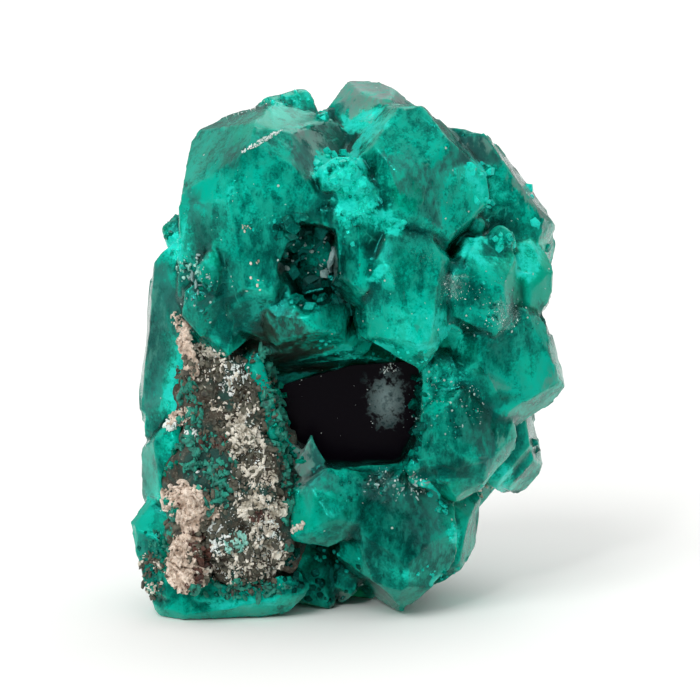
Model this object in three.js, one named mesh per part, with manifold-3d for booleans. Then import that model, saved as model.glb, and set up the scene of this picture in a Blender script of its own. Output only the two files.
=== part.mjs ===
// Dioptase specimen: stout emerald-green crystals grown together round a dark hollow, with a patch of the
// brown host rock and its pale calcite crust at the lower left. It stands on its trimmed underside.
// Millimetres, +Z up, seen from the front along +Y.

import * as THREE from 'three';
import { ImprovedNoise } from 'three/addons/math/ImprovedNoise.js';
import { ConvexGeometry } from 'three/addons/geometries/ConvexGeometry.js';
import { mergeVertices } from 'three/addons/utils/BufferGeometryUtils.js';
import Module from 'manifold-3d';

const wasm = await Module();
wasm.setup();
const { Manifold, Mesh } = wasm;

// Driving dimensions.
const GAP = 0.3; // between the crystals, the rock and the crust
const WELD = 0.004; // edges shorter than this are closed up after a join
const CELL_A = 14.566; // unit cell of dioptase
const CELL_C = 7.778;
const CELL_SLOPE = CELL_C / (CELL_A * Math.cos(Math.PI / 6));
const RHOMB_TILT = Math.atan(2 * CELL_SLOPE); // steep rhombohedron that closes each prism, from the c axis
const CLEAVAGE_TILT = Math.atan(CELL_SLOPE); // perfect cleavage, from the c axis
const ROUND_WIDE = { fresh: 1.3, worn: 1.02 }; // half width of the wear ellipsoid, in crystal radii
const ROUND_LONG = { fresh: 1.0, worn: 0.8 }; // its half length, in crystal half lengths
const WEAR_FLATS = 30;
const GOLDEN_ANGLE = Math.PI * (3 - Math.sqrt(5));

// Hollows between the crystals: corners [x, z] of the floor and of the mouth, and how far back each lies.
const HOLLOWS = {
  dark_hollow: {
    floor: [
      [-6.2, 17.6], [-0.2, 18.0], [1.9, 18.6], [4.5, 18.6],
      [4.9, 17.0], [4.3, 13.4], [3.2, 11.2], [-2.0, 11.0], [-4.8, 13.2],
    ],
    mouth: [
      [-7.2, 21.4], [-0.4, 20.0], [1.6, 19.2], [4.6, 19.2],
      [5.0, 17.0], [4.5, 13.2], [3.5, 11.8], [-1.8, 11.6], [-4.8, 13.0],
    ],
    floorY: -2.4,
    mouthY: -9.0,
  },
  upper_recess: {
    floor: [[-3.6, 29.0], [-1.9, 28.6], [-1.7, 24.6], [-3.8, 24.0], [-4.8, 26.4]],
    mouth: [[-4.0, 30.0], [-1.4, 29.4], [-1.4, 23.9], [-4.0, 23.2], [-5.6, 26.4]],
    floorY: -5.6,
    mouthY: -8.6,
  },
};
const HOLLOW_END_Y = -20.0; // they are cleared as far forward as this

// Crystals: centre, radius to the prism faces, half length to the tip, direction of the tip, turn about it.
// Wear rounds the corners, from 0 to 1. Twins are smaller individuals grown on it in parallel. Each facet is
// a flat face of its own: the direction it looks in, then its distance from the centre.
const PLAIN = { turn: 0, wear: 0.4, twins: 1, facets: [] };
const CRYSTALS = {
  upper_left: {
    at: [-6.4, -3.2, 29.2], radius: 6.2, half: 11, tip: [0.04, -0.1, 1], turn: 55, wear: 0.35,
    facets: [
      [-1, 0, 0.1, 6.6], [-0.38, -0.1, 0.92, 7.7], [0.35, -0.65, 0.67, 7.3], [0.3, -0.3, 0.9, 7.7],
      [0, -1, 0.05, 5.6], [-0.6, -0.8, 0.2, 6.3], [0.2, -0.8, -0.5, 7.2], [0.72, -0.5, -0.42, 5.2],
    ],
  },
  upper_right: {
    at: [3.7, -3.0, 31.8], radius: 5.5, half: 8.2, tip: [0.1, -0.45, 0.85], turn: 20, wear: 1, twins: 0,
    facets: [[0.1, -0.75, 0.65, 5.0], [0.6, -0.8, 0.1, 4.7], [-0.5, -0.8, 0.1, 5.0], [0.72, -0.1, 0.68, 5.1]],
  },
  top_left_back: { at: [-5.1, 0.2, 35.6], radius: 3.0, half: 3.7, tip: [0.5, 0.1, 1], turn: 10, wear: 1 },
  top_back: {
    at: [1.4, 1.2, 35.9], radius: 3.2, half: 4.4, tip: [1, 0.2, 0], turn: 30, wear: 0.3, twins: 0,
    facets: [[0.05, -0.25, 1, 2.7], [-0.6, -0.5, 0.8, 3.0], [0.6, -0.3, 0.8, 3.0]],
  },
  right_tip: { at: [9.2, 0.4, 29.9], radius: 3.7, half: 8.0, tip: [-0.59, -0.1, 0.8], wear: 0.1, twins: 0 },
  right_bright: { at: [11.9, -2, 24], radius: 2.5, half: 4.5, tip: [0.1, 0, 1], turn: 15, wear: 0.9 },
  right_knob: { at: [10.6, -4.2, 27.6], radius: 1.2, half: 1.8, tip: [0, -0.2, 1], wear: 1, twins: 0 },
  right_speckled: {
    at: [8.6, -4.6, 24], radius: 3.3, half: 5, tip: [-0.1, -0.1, 1], turn: 35, wear: 0.8,
    facets: [[0.1, -1, 0.15, 3.1]],
  },
  right_middle: {
    at: [10.3, -2.6, 18.4], radius: 4.9, half: 6.6, tip: [0.5, -0.4, 0.8], turn: 20, wear: 0.9,
    facets: [[0.35, -0.9, 0.2, 4.5], [0.95, -0.2, 0.3, 4.6]],
  },
  right_outer: { at: [10.3, 0, 13.0], radius: 3.1, half: 5.8, tip: [0.2, 0.1, -1], turn: 5, wear: 0.6 },
  right_low: {
    at: [7.1, -4.6, 13.4], radius: 4.1, half: 6, tip: [0.2, -0.3, 1], turn: 25, wear: 0.9,
    facets: [[0.55, -0.8, 0.2, 3.8]],
  },
  lower_right: {
    at: [3.2, -4.2, 5.8], radius: 4.4, half: 6.8, tip: [0.05, -0.3, 1], turn: 10, wear: 0.9, twins: 0,
    facets: [[0.5, -0.75, 0.45, 4.1], [-0.1, -0.95, 0.2, 4.3], [-0.6, -0.6, -0.3, 4.3]],
  },
  lower_side: { at: [6.4, -1.5, 5.8], radius: 2.6, half: 5, tip: [0.2, 0, 1], turn: 40, wear: 0.6 },
  bright_low: {
    at: [-2, -6, 8.4], radius: 2.6, half: 4.6, tip: [0.75, -0.2, 0.45], wear: 0.5,
    facets: [[0.1, -0.85, 0.5, 2.3]],
  },
  low_middle: { at: [-3.4, -1.4, 2.5], radius: 2.5, half: 3.8, tip: [-0.4, -0.3, 1], turn: 20, wear: 0.5 },
  low_cleft: { at: [-0.7, -2.4, 3.4], radius: 1.5, half: 3.4, tip: [0.1, -0.1, 1], turn: 40, twins: 0 },
  low_left_base: { at: [-9.1, -5.4, 1.7], radius: 2.0, half: 6.6, tip: [1, 0, 0.16], turn: 12, wear: 0.6 },
  low_left_corner: { at: [-13.9, -4.6, 4.4], radius: 2.1, half: 5, tip: [-0.25, 0, 1], wear: 0.5, twins: 0 },
  left_plate: {
    at: [-12.7, -2.6, 19.4], radius: 2.5, half: 9.4, tip: [0.1, 0, 1], turn: 8, wear: 0.4,
    facets: [[-0.55, -0.85, 0.05, 2.2]],
  },
  left_low: { at: [-13.3, -3.6, 10.6], radius: 2.3, half: 5, tip: [0, -0.1, 1], turn: 30, wear: 0.7 },
  left_shoulder: { at: [-12.2, -0.8, 27], radius: 1.5, half: 2.8, tip: [-0.3, -0.2, 1], wear: 0.2 },
  left_bright: { at: [-10.5, -7.6, 26], radius: 0.95, half: 1.8, tip: [0.1, -0.2, 1], turn: 30, twins: 0 },
  left_pale: { at: [-11, -6.4, 23.4], radius: 1.6, half: 2.9, tip: [0.1, -0.4, 1], wear: 0.1, twins: 0 },
  left_inner: { at: [-9.6, -5.2, 22.4], radius: 2.4, half: 4, tip: [0.2, -0.1, 1], turn: 20 },
  centre_pillar: {
    at: [3.6, -6.8, 24], radius: 3.5, half: 6.4, tip: [0.05, 0.05, -1], wear: 0.7,
    facets: [[0.35, -0.9, 0.2, 3.1], [-0.45, -0.9, -0.1, 3.2]],
  },
  centre_upper: { at: [0.1, -7.4, 28], radius: 2.1, half: 5, tip: [0.05, -0.15, -1], turn: 30, wear: 0.5 },
  centre_left: { at: [-3.6, -6, 22.6], radius: 3.1, half: 4.8, tip: [-0.7, -0.2, 1], turn: 10, wear: 1 },
  middle_left: { at: [-7.2, -5.2, 24.4], radius: 3.2, half: 4.8, tip: [0.2, -0.2, -1], turn: 30, wear: 1 },
  recess_back: { at: [-3, -4, 26.5], radius: 2.8, half: 4.2, tip: [0, -0.1, 1], wear: 0.3 },
  hollow_lintel: { at: [-3.6, -3.6, 20.6], radius: 2.5, half: 5.4, tip: [1, 0, 0], turn: 30, twins: 0 },
  hollow_left: { at: [-6.7, -4.8, 16], radius: 1.9, half: 5.2, tip: [-0.15, 0, 1], wear: 0.7 },
  hollow_right: { at: [6.8, -4.4, 17], radius: 2.6, half: 5.2, tip: [-0.1, 0, 1], turn: 20, wear: 0.6 },
  hollow_sill: { at: [1.6, -4.2, 9.6], radius: 2.3, half: 4.6, tip: [1, 0, -0.1], wear: 0.5 },
  core_upper: { at: [-1, 2, 27], radius: 8.2, half: 10.5, tip: [0, 0, 1], wear: 0.3, twins: 0 },
  core_lower: { at: [-1, 2.2, 12], radius: 8.4, half: 14.5, tip: [0, 0, 1], turn: 30, wear: 0.2, twins: 0 },
  left_behind: { at: [-11.6, 1.2, 12.6], radius: 3.1, half: 7.6, tip: [-0.1, 0.1, 1], turn: 25, wear: 0.6 },
  left_under: { at: [-9.6, 0.2, 3.4], radius: 3.7, half: 5.6, tip: [-0.3, 0.1, 1], turn: 40, wear: 0.6 },
  back_upper_left: { at: [-7, 5, 28], radius: 4.7, half: 7.2, tip: [-0.2, 0.3, 1], wear: 0.5 },
  back_upper_right: { at: [3.4, 6.2, 29.4], radius: 4.9, half: 6.8, tip: [0.2, 0.6, 0.8], wear: 0.6 },
  back_right: { at: [8.8, 5, 22.8], radius: 4.2, half: 6.6, tip: [0.2, 0.2, 1], turn: 20, wear: 0.5 },
  back_left: { at: [-9.8, 3.8, 18.6], radius: 3.9, half: 7.4, tip: [-0.1, 0.2, 1], turn: 10, wear: 0.6 },
  back_middle: { at: [-0.6, 7.6, 20], radius: 5, half: 8, tip: [0.1, 0.4, -1], wear: 0.5 },
  back_right_low: { at: [7, 5, 11.8], radius: 4.6, half: 7.6, tip: [0.3, 0.1, -1], wear: 0.6 },
  back_left_low: { at: [-8.2, 4.6, 7.2], radius: 4.8, half: 7.2, tip: [-0.2, 0.1, 1], turn: 15, wear: 0.6 },
  back_foot: { at: [0.6, 6.6, 6.2], radius: 4.8, half: 7.6, tip: [0.1, 0.2, 1], turn: 30, wear: 0.5 },
};

// Crusts of small crystals in the clefts: centre, spread along x, y and z, how many and how large.
const CRUSTS = {
  turquoise_cleft: { at: [-0.6, -7.7, 31.4], spread: [1.5, 0.5, 2.2], count: 9, radius: 1.25 },
  shoulder_cleft: { at: [8.2, -3.4, 28.4], spread: [1.4, 0.5, 1.2], count: 4, radius: 0.9 },
  left_cleft: { at: [-11.7, -3.8, 25.4], spread: [1, 1.2, 1.6], count: 7, radius: 0.75 },
  hollow_corner: { at: [5.2, -7.4, 11.4], spread: [1.6, 0.8, 0.8], count: 7, radius: 0.65 },
  lower_cleft: { at: [6.8, -5, 9], spread: [0.8, 0.7, 1.8], count: 5, radius: 0.65 },
};

// The thin rhomb-shaped tip that stands in the lower left of the hollow: its corners [x, z], middle and lean.
const SPEAR = {
  corners: [[0.1, 2.1], [1.15, 0], [-0.1, -2], [-1.2, -0.5]],
  thickness: 1.3,
  at: [-3.3, -5.4, 11.6],
  lean: -14,
};

// Host rock: middle, half sizes along x, y and z, how much it narrows and leans towards its top.
const ROCK = { at: [-9.1, -3.9, 11.2], size: [4.4, 5.0, 9.6], taper: 0.28, lean: -0.13 };
const ROCK_GRAIN = { detail: 6, roughness: 1.0, pitch: 2.4 };

// Calcite crust on the rock: crumbly lumps, each with its middle and half sizes.
const CRUSTED = {
  pale_crust_lower: [
    { at: [-11.6, -8.4, 8.9], size: [2.0, 1.1, 1.6] },
    { at: [-12.3, -8.5, 5.8], size: [1.1, 1.1, 3.0] },
    { at: [-12.2, -8.7, 3.9], size: [1.5, 1.0, 1.2] },
  ],
  pale_crust_upper: [
    { at: [-12.3, -6.5, 20.8], size: [0.5, 0.55, 1.5] },
    { at: [-11.9, -6.9, 18.9], size: [0.5, 0.55, 1.2] },
  ],
};
const CRUST_GRAIN = { detail: 2, roughness: 0.32, pitch: 0.8 };

// Materials.
const dioptaseGreen = new THREE.MeshStandardMaterial({ color: 0x078a70, roughness: 0.22, metalness: 0 });
const rockBrown = new THREE.MeshStandardMaterial({ color: 0x4f4a3c, roughness: 0.95, metalness: 0 });
const calciteBeige = new THREE.MeshStandardMaterial({ color: 0xcdb6a0, roughness: 0.9, metalness: 0 });

// A repeatable run of numbers from 0 to 1.
function numbersFrom(seed) {
  let state = seed;
  return () => {
    state = (state + 0x6d2b79f5) | 0;
    let t = Math.imul(state ^ (state >>> 15), 1 | state);
    t = (t + Math.imul(t ^ (t >>> 7), 61 | t)) ^ t;
    return ((t ^ (t >>> 14)) >>> 0) / 4294967296;
  };
}

function between(random, low, high) {
  return low + (high - low) * random();
}

function solidFrom(geometry) {
  const bare = geometry.clone();
  bare.deleteAttribute('normal');
  bare.deleteAttribute('uv');
  const merged = mergeVertices(bare, 1e-4);
  const vertProperties = new Float32Array(merged.attributes.position.array);
  const triVerts = new Uint32Array(merged.index.array);
  return new Manifold(new Mesh({ numProp: 3, vertProperties, triVerts }));
}

function geometryFrom(solid) {
  const mesh = solid.getMesh();
  const positions = new Float32Array(mesh.numVert * 3);
  for (let i = 0; i < mesh.numVert; i++) {
    positions.set(mesh.vertProperties.subarray(i * mesh.numProp, i * mesh.numProp + 3), i * 3);
  }
  const geometry = new THREE.BufferGeometry();
  geometry.setAttribute('position', new THREE.BufferAttribute(positions, 3));
  geometry.setIndex(new THREE.BufferAttribute(mesh.triVerts, 1));
  const faceted = geometry.toNonIndexed();
  faceted.computeVertexNormals();
  return faceted;
}

// A direction from its tilt off the c axis and its azimuth round it.
function facing(tilt, azimuth) {
  return [Math.sin(tilt) * Math.cos(azimuth), Math.sin(tilt) * Math.sin(azimuth), Math.cos(tilt)];
}

function cutBy(solid, normal, distance) {
  return solid.trimByPlane(normal.map((n) => -n), -distance);
}

// How far a solid reaches along a direction.
function reach(solid, [nx, ny, nz]) {
  const { vertProperties, numProp, numVert } = solid.getMesh();
  let most = -Infinity;
  for (let i = 0; i < numVert; i++) {
    const [x, y, z] = vertProperties.subarray(i * numProp, i * numProp + 3);
    most = Math.max(most, x * nx + y * ny + z * nz);
  }
  return most;
}

// Six prism faces closed at both ends by three rhombohedral faces, in the crystal's own frame.
function idealCrystal(radius, half, random) {
  const size = 4 * (radius + half);
  let solid = solidFrom(new THREE.BoxGeometry(size, size, size));
  for (let k = 0; k < 6; k++) {
    solid = cutBy(solid, facing(Math.PI / 2, (k * Math.PI) / 3), radius * between(random, 0.9, 1.06));
  }
  for (let k = 0; k < 3; k++) {
    const azimuth = Math.PI / 6 + (k * 2 * Math.PI) / 3;
    const distance = half * Math.cos(RHOMB_TILT);
    const below = facing(Math.PI - RHOMB_TILT, azimuth + Math.PI);
    solid = cutBy(solid, facing(RHOMB_TILT, azimuth), distance * between(random, 0.92, 1.05));
    solid = cutBy(solid, below, distance * between(random, 0.92, 1.05));
  }
  return solid;
}

// Worn corners: cleavage planes, then many small flats that follow an ellipsoid inside the ideal form.
function wornCrystal(solid, { radius, half, wear }, random) {
  let worn = solid;
  for (let k = 0; k < Math.round(3 * wear); k++) {
    const normal = facing(CLEAVAGE_TILT, Math.PI / 2 + (k * 2 * Math.PI) / 3);
    worn = cutBy(worn, normal, reach(worn, normal) * between(random, 0.86, 0.97));
  }
  const wide = radius * (ROUND_WIDE.fresh + (ROUND_WIDE.worn - ROUND_WIDE.fresh) * wear);
  const long = half * (ROUND_LONG.fresh + (ROUND_LONG.worn - ROUND_LONG.fresh) * wear);
  for (let k = 0; k < WEAR_FLATS; k++) {
    const cosine = 1 - (2 * k + 1) / WEAR_FLATS + between(random, -0.02, 0.02);
    const normal = facing(Math.acos(cosine), k * GOLDEN_ANGLE + between(random, -0.2, 0.2));
    const support = Math.hypot(wide * normal[0], wide * normal[1], long * normal[2]);
    worn = cutBy(worn, normal, support * between(random, 0.97, 1.04));
  }
  return worn;
}

function placed(solid, { at, tip, turn }) {
  const direction = new THREE.Vector3(...tip).normalize();
  const up = new THREE.Vector3(0, 0, 1);
  const lean = new THREE.Quaternion().setFromUnitVectors(up, direction);
  const spin = new THREE.Quaternion().setFromAxisAngle(up, THREE.MathUtils.degToRad(turn));
  const matrix = new THREE.Matrix4().makeRotationFromQuaternion(lean.multiply(spin)).setPosition(...at);
  return solid.transform(matrix.elements);
}

// A crystal with its smaller parallel individuals, cut to its own facets.
function crystal(sizes, random) {
  const spec = { ...PLAIN, ...sizes };
  const { radius, half, wear, twins, facets, at } = spec;
  const bodies = [wornCrystal(idealCrystal(radius, half, random), spec, random)];
  for (let k = 0; k < twins; k++) {
    const share = between(random, 0.6, 0.85);
    const twin = { radius: radius * share, half: half * share * 1.1, wear: wear * 0.6 };
    const azimuth = between(random, 0, 2 * Math.PI);
    const offset = radius * (1 - share + between(random, 0.03, 0.13));
    const lift = half * between(random, -0.15, 0.15);
    const body = wornCrystal(idealCrystal(twin.radius, twin.half, random), twin, random);
    bodies.push(body.translate([offset * Math.cos(azimuth), offset * Math.sin(azimuth), lift]));
  }
  let solid = placed(Manifold.union(bodies), spec);
  for (const [x, y, z, distance] of facets) {
    const normal = new THREE.Vector3(x, y, z).normalize();
    solid = cutBy(solid, normal.toArray(), normal.dot(new THREE.Vector3(...at)) + distance);
  }
  return solid;
}

function crustCrystals({ at, spread, count, radius }, random) {
  const made = [];
  for (let k = 0; k < count; k++) {
    made.push(crystal({
      at: at.map((c, i) => c + spread[i] * between(random, -1, 1)),
      radius: radius * between(random, 0.6, 1.25),
      half: radius * between(random, 1.1, 2.0),
      tip: [between(random, -1, 1), between(random, -1.2, 0.1), between(random, -0.4, 1)],
      turn: between(random, 0, 60),
      wear: 0.6,
      twins: 0,
    }, random));
  }
  return made;
}

function spear() {
  const { corners, thickness, at, lean } = SPEAR;
  const outline = new THREE.Shape(corners.map(([x, z]) => new THREE.Vector2(x, z)));
  const plate = new THREE.ExtrudeGeometry(outline, { depth: thickness, bevelEnabled: false });
  plate.translate(0, 0, -thickness / 2);
  plate.rotateX(THREE.MathUtils.degToRad(90 + lean));
  plate.translate(...at);
  return solidFrom(plate);
}

// The cleared space of the hollow, from its flat floor out past its mouth.
function hollowSpace({ floor, mouth, floorY, mouthY }) {
  const stretch = (HOLLOW_END_Y - floorY) / (mouthY - floorY);
  const corners = floor.flatMap(([x, z], i) => {
    const [mouthX, mouthZ] = mouth[i];
    const end = new THREE.Vector3(x + (mouthX - x) * stretch, HOLLOW_END_Y, z + (mouthZ - z) * stretch);
    return [new THREE.Vector3(x, floorY, z), end];
  });
  return solidFrom(new ConvexGeometry(corners));
}

// A rough lump: a sphere pushed in and out by noise, then stretched, narrowed and leant towards its top.
// The whole lump can be grown by a margin.
const noise = new ImprovedNoise();
function lump({ at, size, taper = 0, lean = 0 }, { detail, roughness, pitch }, grow = 0) {
  const geometry = new THREE.IcosahedronGeometry(1, detail);
  const position = geometry.attributes.position;
  const point = new THREE.Vector3();
  for (let i = 0; i < position.count; i++) {
    point.fromBufferAttribute(position, i).normalize();
    const place = [0, 1, 2].map((k) => (at[k] + point.getComponent(k) * size[k]) / pitch);
    const push = roughness * (noise.noise(...place) + 0.5 * noise.noise(...place.map((c) => 2.1 * c + 7)));
    const [x, y, z] = [0, 1, 2].map((k) => point.getComponent(k) * (size[k] + push + grow));
    const narrow = 1 - (taper * z) / size[2];
    position.setXYZ(i, at[0] + x * narrow + lean * z, at[1] + y * narrow, at[2] + z);
  }
  return solidFrom(geometry);
}

function rock(grow = 0) {
  return lump(ROCK, ROCK_GRAIN, grow);
}

function crust(lumps, grow = 0) {
  return Manifold.union(lumps.map((spec) => lump(spec, CRUST_GRAIN, grow)));
}

function largestBody(solid) {
  return solid.decompose().sort((a, b) => b.volume() - a.volume())[0];
}

// The one body that is kept, with its shortest edges closed up.
function finished(solid) {
  return largestBody(largestBody(solid).simplify(WELD));
}

function clusterSolid() {
  const random = numbersFrom(20);
  const grown = Object.values(CRYSTALS).map((spec) => crystal(spec, random));
  const crusts = Object.values(CRUSTS).flatMap((spec) => crustCrystals(spec, random));
  const hollows = Object.values(HOLLOWS).map(hollowSpace);
  return Manifold.union([...grown, ...crusts]).subtract(Manifold.union(hollows)).add(spear());
}

const rockSolid = rock();
const crustSolids = Object.fromEntries(
  Object.entries(CRUSTED).map(([name, lumps]) => [name, crust(lumps).subtract(rock(GAP))]),
);
let cluster = clusterSolid().subtract(rock(GAP));
for (const lumps of Object.values(CRUSTED)) {
  cluster = cluster.subtract(crust(lumps, GAP));
}
cluster = cluster.trimByPlane([0, 0, 1], 0);

const specimen = new THREE.Group();
const nodes = [
  ['dioptase_crystals', cluster, dioptaseGreen],
  ['host_rock', rockSolid, rockBrown],
  ...Object.entries(crustSolids).map(([name, solid]) => [name, solid, calciteBeige]),
];
for (const [name, solid, material] of nodes) {
  const mesh = new THREE.Mesh(geometryFrom(finished(solid)), material);
  mesh.name = name;
  specimen.add(mesh);
}

// The frame's origin is the middle of the base.
const bounds = new THREE.Box3().setFromObject(specimen);
const middle = bounds.getCenter(new THREE.Vector3());
specimen.position.set(-middle.x, -middle.y, -bounds.min.z);

export default specimen;
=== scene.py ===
"""Dioptase specimen: emerald-green crystals grown together round a dark hollow, on host rock with calcite.

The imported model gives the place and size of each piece. This script gives the crystals, the rock and the
crusts their fine surface and their finish, and adds the crumbs and small crystals that are too fine for the
solids.
"""

import logging
import math
from dataclasses import dataclass
from enum import Enum
from random import Random

import bmesh
import bpy
import numpy as np
from bpy.types import Material, Mesh, Node, NodeSocket, NodeTree, Object, World
from mathutils import Euler, Matrix, Vector, noise
from mathutils.bvhtree import BVHTree

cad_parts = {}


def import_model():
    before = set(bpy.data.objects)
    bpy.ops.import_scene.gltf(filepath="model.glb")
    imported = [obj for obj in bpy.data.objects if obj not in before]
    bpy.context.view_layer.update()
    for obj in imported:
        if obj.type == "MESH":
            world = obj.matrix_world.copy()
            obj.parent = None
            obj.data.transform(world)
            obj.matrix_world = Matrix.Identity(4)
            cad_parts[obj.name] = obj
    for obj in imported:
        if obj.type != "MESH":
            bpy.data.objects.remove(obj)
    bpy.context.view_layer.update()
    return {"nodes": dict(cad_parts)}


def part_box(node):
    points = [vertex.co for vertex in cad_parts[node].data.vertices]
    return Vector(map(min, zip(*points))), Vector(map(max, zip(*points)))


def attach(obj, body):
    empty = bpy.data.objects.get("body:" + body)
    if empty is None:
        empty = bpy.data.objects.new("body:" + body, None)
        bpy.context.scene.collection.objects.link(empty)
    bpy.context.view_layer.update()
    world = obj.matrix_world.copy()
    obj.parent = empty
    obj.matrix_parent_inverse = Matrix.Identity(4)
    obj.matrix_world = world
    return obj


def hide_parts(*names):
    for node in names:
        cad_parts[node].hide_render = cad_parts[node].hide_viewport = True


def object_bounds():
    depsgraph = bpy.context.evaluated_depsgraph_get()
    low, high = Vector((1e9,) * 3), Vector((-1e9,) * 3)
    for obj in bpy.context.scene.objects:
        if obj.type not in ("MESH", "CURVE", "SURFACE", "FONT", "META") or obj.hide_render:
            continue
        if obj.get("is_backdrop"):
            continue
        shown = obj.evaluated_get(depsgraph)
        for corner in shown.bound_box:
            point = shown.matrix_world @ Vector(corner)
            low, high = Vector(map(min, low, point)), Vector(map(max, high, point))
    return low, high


MM = 0.001
TOUCHING = 0.001 * MM  # corners nearer than this are one
LOG = logging.getLogger("dioptase")
Feed = Node | NodeSocket  # what can feed a node's input
Stops = tuple[tuple[float, str], ...]  # places along a colour ramp with their hex colours
Span = tuple[float, float]  # from and to
Triple = tuple[float, float, float]
Box = tuple[Vector, Vector]  # low and high corners


def linear(hex_colour: str) -> tuple[float, float, float, float]:
    """Turns an sRGB hex colour to the linear values that shaders take.

    Args:
        hex_colour: six hex digits, such as "0a8f74".

    Returns:
        Linear red, green and blue, and an alpha of 1.
    """
    channels = [int(hex_colour[i:i + 2], 16) / 255 for i in (0, 2, 4)]
    straight = [c / 12.92 if c <= 0.04045 else ((c + 0.055) / 1.055) ** 2.4 for c in channels]
    return (*straight, 1.0)


def add_node(tree: NodeTree, kind: str, inputs: dict | None = None, stops: Stops = (),
             **settings: object) -> Node:
    """Adds one shader node with its settings, its input values and its links.

    Args:
        tree: the node tree.
        kind: the node's type name, without the "ShaderNode" that it starts with.
        inputs: input name or number to a value, or to the node or output socket that feeds it.
        stops: colour ramp stops, for a ramp.
        settings: the node's own properties.

    Returns:
        The new node.
    """
    node = tree.nodes.new("ShaderNode" + kind)
    for name, value in settings.items():
        setattr(node, name, value)
    if stops:
        elements = node.color_ramp.elements
        while len(elements) < len(stops):
            elements.new(1.0)
        for element, (place, colour) in zip(elements, stops):
            element.position = place
            element.color = linear(colour)
    for key, value in (inputs or {}).items():
        if isinstance(value, Node):
            value = value.outputs[0]
        if isinstance(value, NodeSocket):
            tree.links.new(value, node.inputs[key])
        else:
            node.inputs[key].default_value = value
    return node


def empty_tree(owner: Material | World) -> NodeTree:
    """Gives a new material or world an empty node tree.

    Args:
        owner: the material or world.

    Returns:
        Its node tree.
    """
    owner.use_nodes = True
    owner.node_tree.nodes.clear()
    return owner.node_tree


def oval_stain(tree: NodeTree, place: Feed, middle: Triple, half: Triple, cloud: Feed,
               ragged: float, border: Span, fade: str) -> Feed:
    """The weight of a ragged oval stain.

    Args:
        tree: the node tree.
        place: the Object coordinates.
        middle: its middle in metres.
        half: its half sizes in metres.
        cloud: the noise that its border follows.
        ragged: how far the noise moves the border.
        border: where it starts to fade and where it ends.
        fade: the kind of fading.

    Returns:
        What feeds the weight.
    """
    offset = add_node(tree, "Mapping", {"Vector": place, "Location": middle, "Scale": half},
                      vector_type="TEXTURE")
    away = add_node(tree, "VectorMath", {0: offset}, operation="LENGTH").outputs["Value"]
    away = add_node(tree, "Math", {0: cloud, 1: ragged, 2: away}, operation="MULTIPLY_ADD")
    return add_node(tree, "MapRange", {
        "Value": away, "From Min": border[0], "From Max": border[1], "To Min": 0.9, "To Max": 0.0},
        interpolation_type=fade)


def per_mm(pitch_mm: float) -> float:
    """The scale of a pattern on metre coordinates whose features are pitch_mm apart."""
    return 1.0 / (pitch_mm * MM)


def smooth_step(low: float, high: float, value: np.ndarray) -> np.ndarray:
    """Eases value from 0 at low to 1 at high."""
    share = np.clip((value - low) / (high - low), 0.0, 1.0)
    return share * share * (3.0 - 2.0 * share)


@dataclass(frozen=True)
class PhotoView:
    """The photograph's viewpoint: level with the front, a little above, through a long lens.

    Pixel places are given in the photograph's frame of 700 by 700.
    """

    azimuth: float = 0.0
    distance: float = 300 * MM
    elevation: float = math.radians(10)
    target: Triple = (0.2 * MM, 0.0, 18.7 * MM)
    span: float = 52.5 * MM  # what the frame takes in at the target
    frame_px: int = 700
    sensor_mm: float = 36.0
    clip: Span = (10 * MM, 10.0)

    def axes(self) -> tuple[Vector, Vector, Vector]:
        """The view's right, up and backward directions."""
        rise, level = math.sin(self.elevation), math.cos(self.elevation)
        around = Matrix.Rotation(self.azimuth, 3, "Z")
        right, up, back = Vector((1, 0, 0)), Vector((0, rise, level)), Vector((0, -level, rise))
        return around @ right, around @ up, around @ back

    def eye(self) -> Vector:
        """Where the camera stands."""
        return Vector(self.target) + self.axes()[2] * self.distance

    def focal_px(self) -> float:
        """The focal length in pixels of the frame."""
        return self.distance / (self.span / self.frame_px)

    def project(self, points: np.ndarray) -> np.ndarray:
        """Where points show in the photograph.

        Args:
            points: n by 3 array in metres.

        Returns:
            n by 3 array: pixel x, pixel y and depth in metres.
        """
        right, up, back = (np.array(axis) for axis in self.axes())
        offset = points - np.array(self.eye())
        depth = -(offset @ back)
        half = self.frame_px / 2
        across = half + self.focal_px() * (offset @ right) / depth
        down = half - self.focal_px() * (offset @ up) / depth
        return np.stack([across, down, depth], axis=1)

    def hit(self, tree: BVHTree, px: float, py: float) -> tuple[Vector | None, Vector | None]:
        """The first point of a surface that shows at a pixel.

        Args:
            tree: the surface.
            px: pixel across.
            py: pixel down.

        Returns:
            The point and the surface's normal there, each None where the ray misses.
        """
        right, up, back = self.axes()
        half = self.frame_px / 2
        aim = right * ((px - half) / self.focal_px()) - up * ((py - half) / self.focal_px()) - back
        return tree.ray_cast(self.eye(), aim.normalized())[:2]

    def place_camera(self) -> None:
        """Makes the camera and sets it as the scene's."""
        data = bpy.data.cameras.new("photo_camera")
        data.sensor_width = self.sensor_mm
        data.lens = self.sensor_mm * self.distance / self.span
        data.clip_start, data.clip_end = self.clip
        camera = bpy.data.objects.new("photo_camera", data)
        turn = Matrix(self.axes()).transposed().to_4x4()
        camera.matrix_world = Matrix.Translation(self.eye()) @ turn
        bpy.context.scene.collection.objects.link(camera)
        bpy.context.scene.camera = camera


VIEW = PhotoView()
RIGHT, BACK, LEFT = (PhotoView(math.radians(turn)) for turn in (90, 180, 270))


class Tint(Enum):
    """What a patch of the crystals shows, with the number of its channel."""

    TURQUOISE = 0  # fractured, milky and light
    EMERALD = 1  # clear and saturated
    GREY = 2  # a flat face that mirrors the pale surroundings: a painted reflection
    DARK = 3  # deep and unlit: painted shade
    DUST = 4  # sprinkled with pale specks
    SMOKE = 5  # brownish grey and opaque, and in part painted shadow on the undersides of overhanging crystals
    FROST = 6  # clouded with fine pale hairs and grains
    PALE = 7  # a face or sliver that mirrors the light itself: a painted highlight


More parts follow.
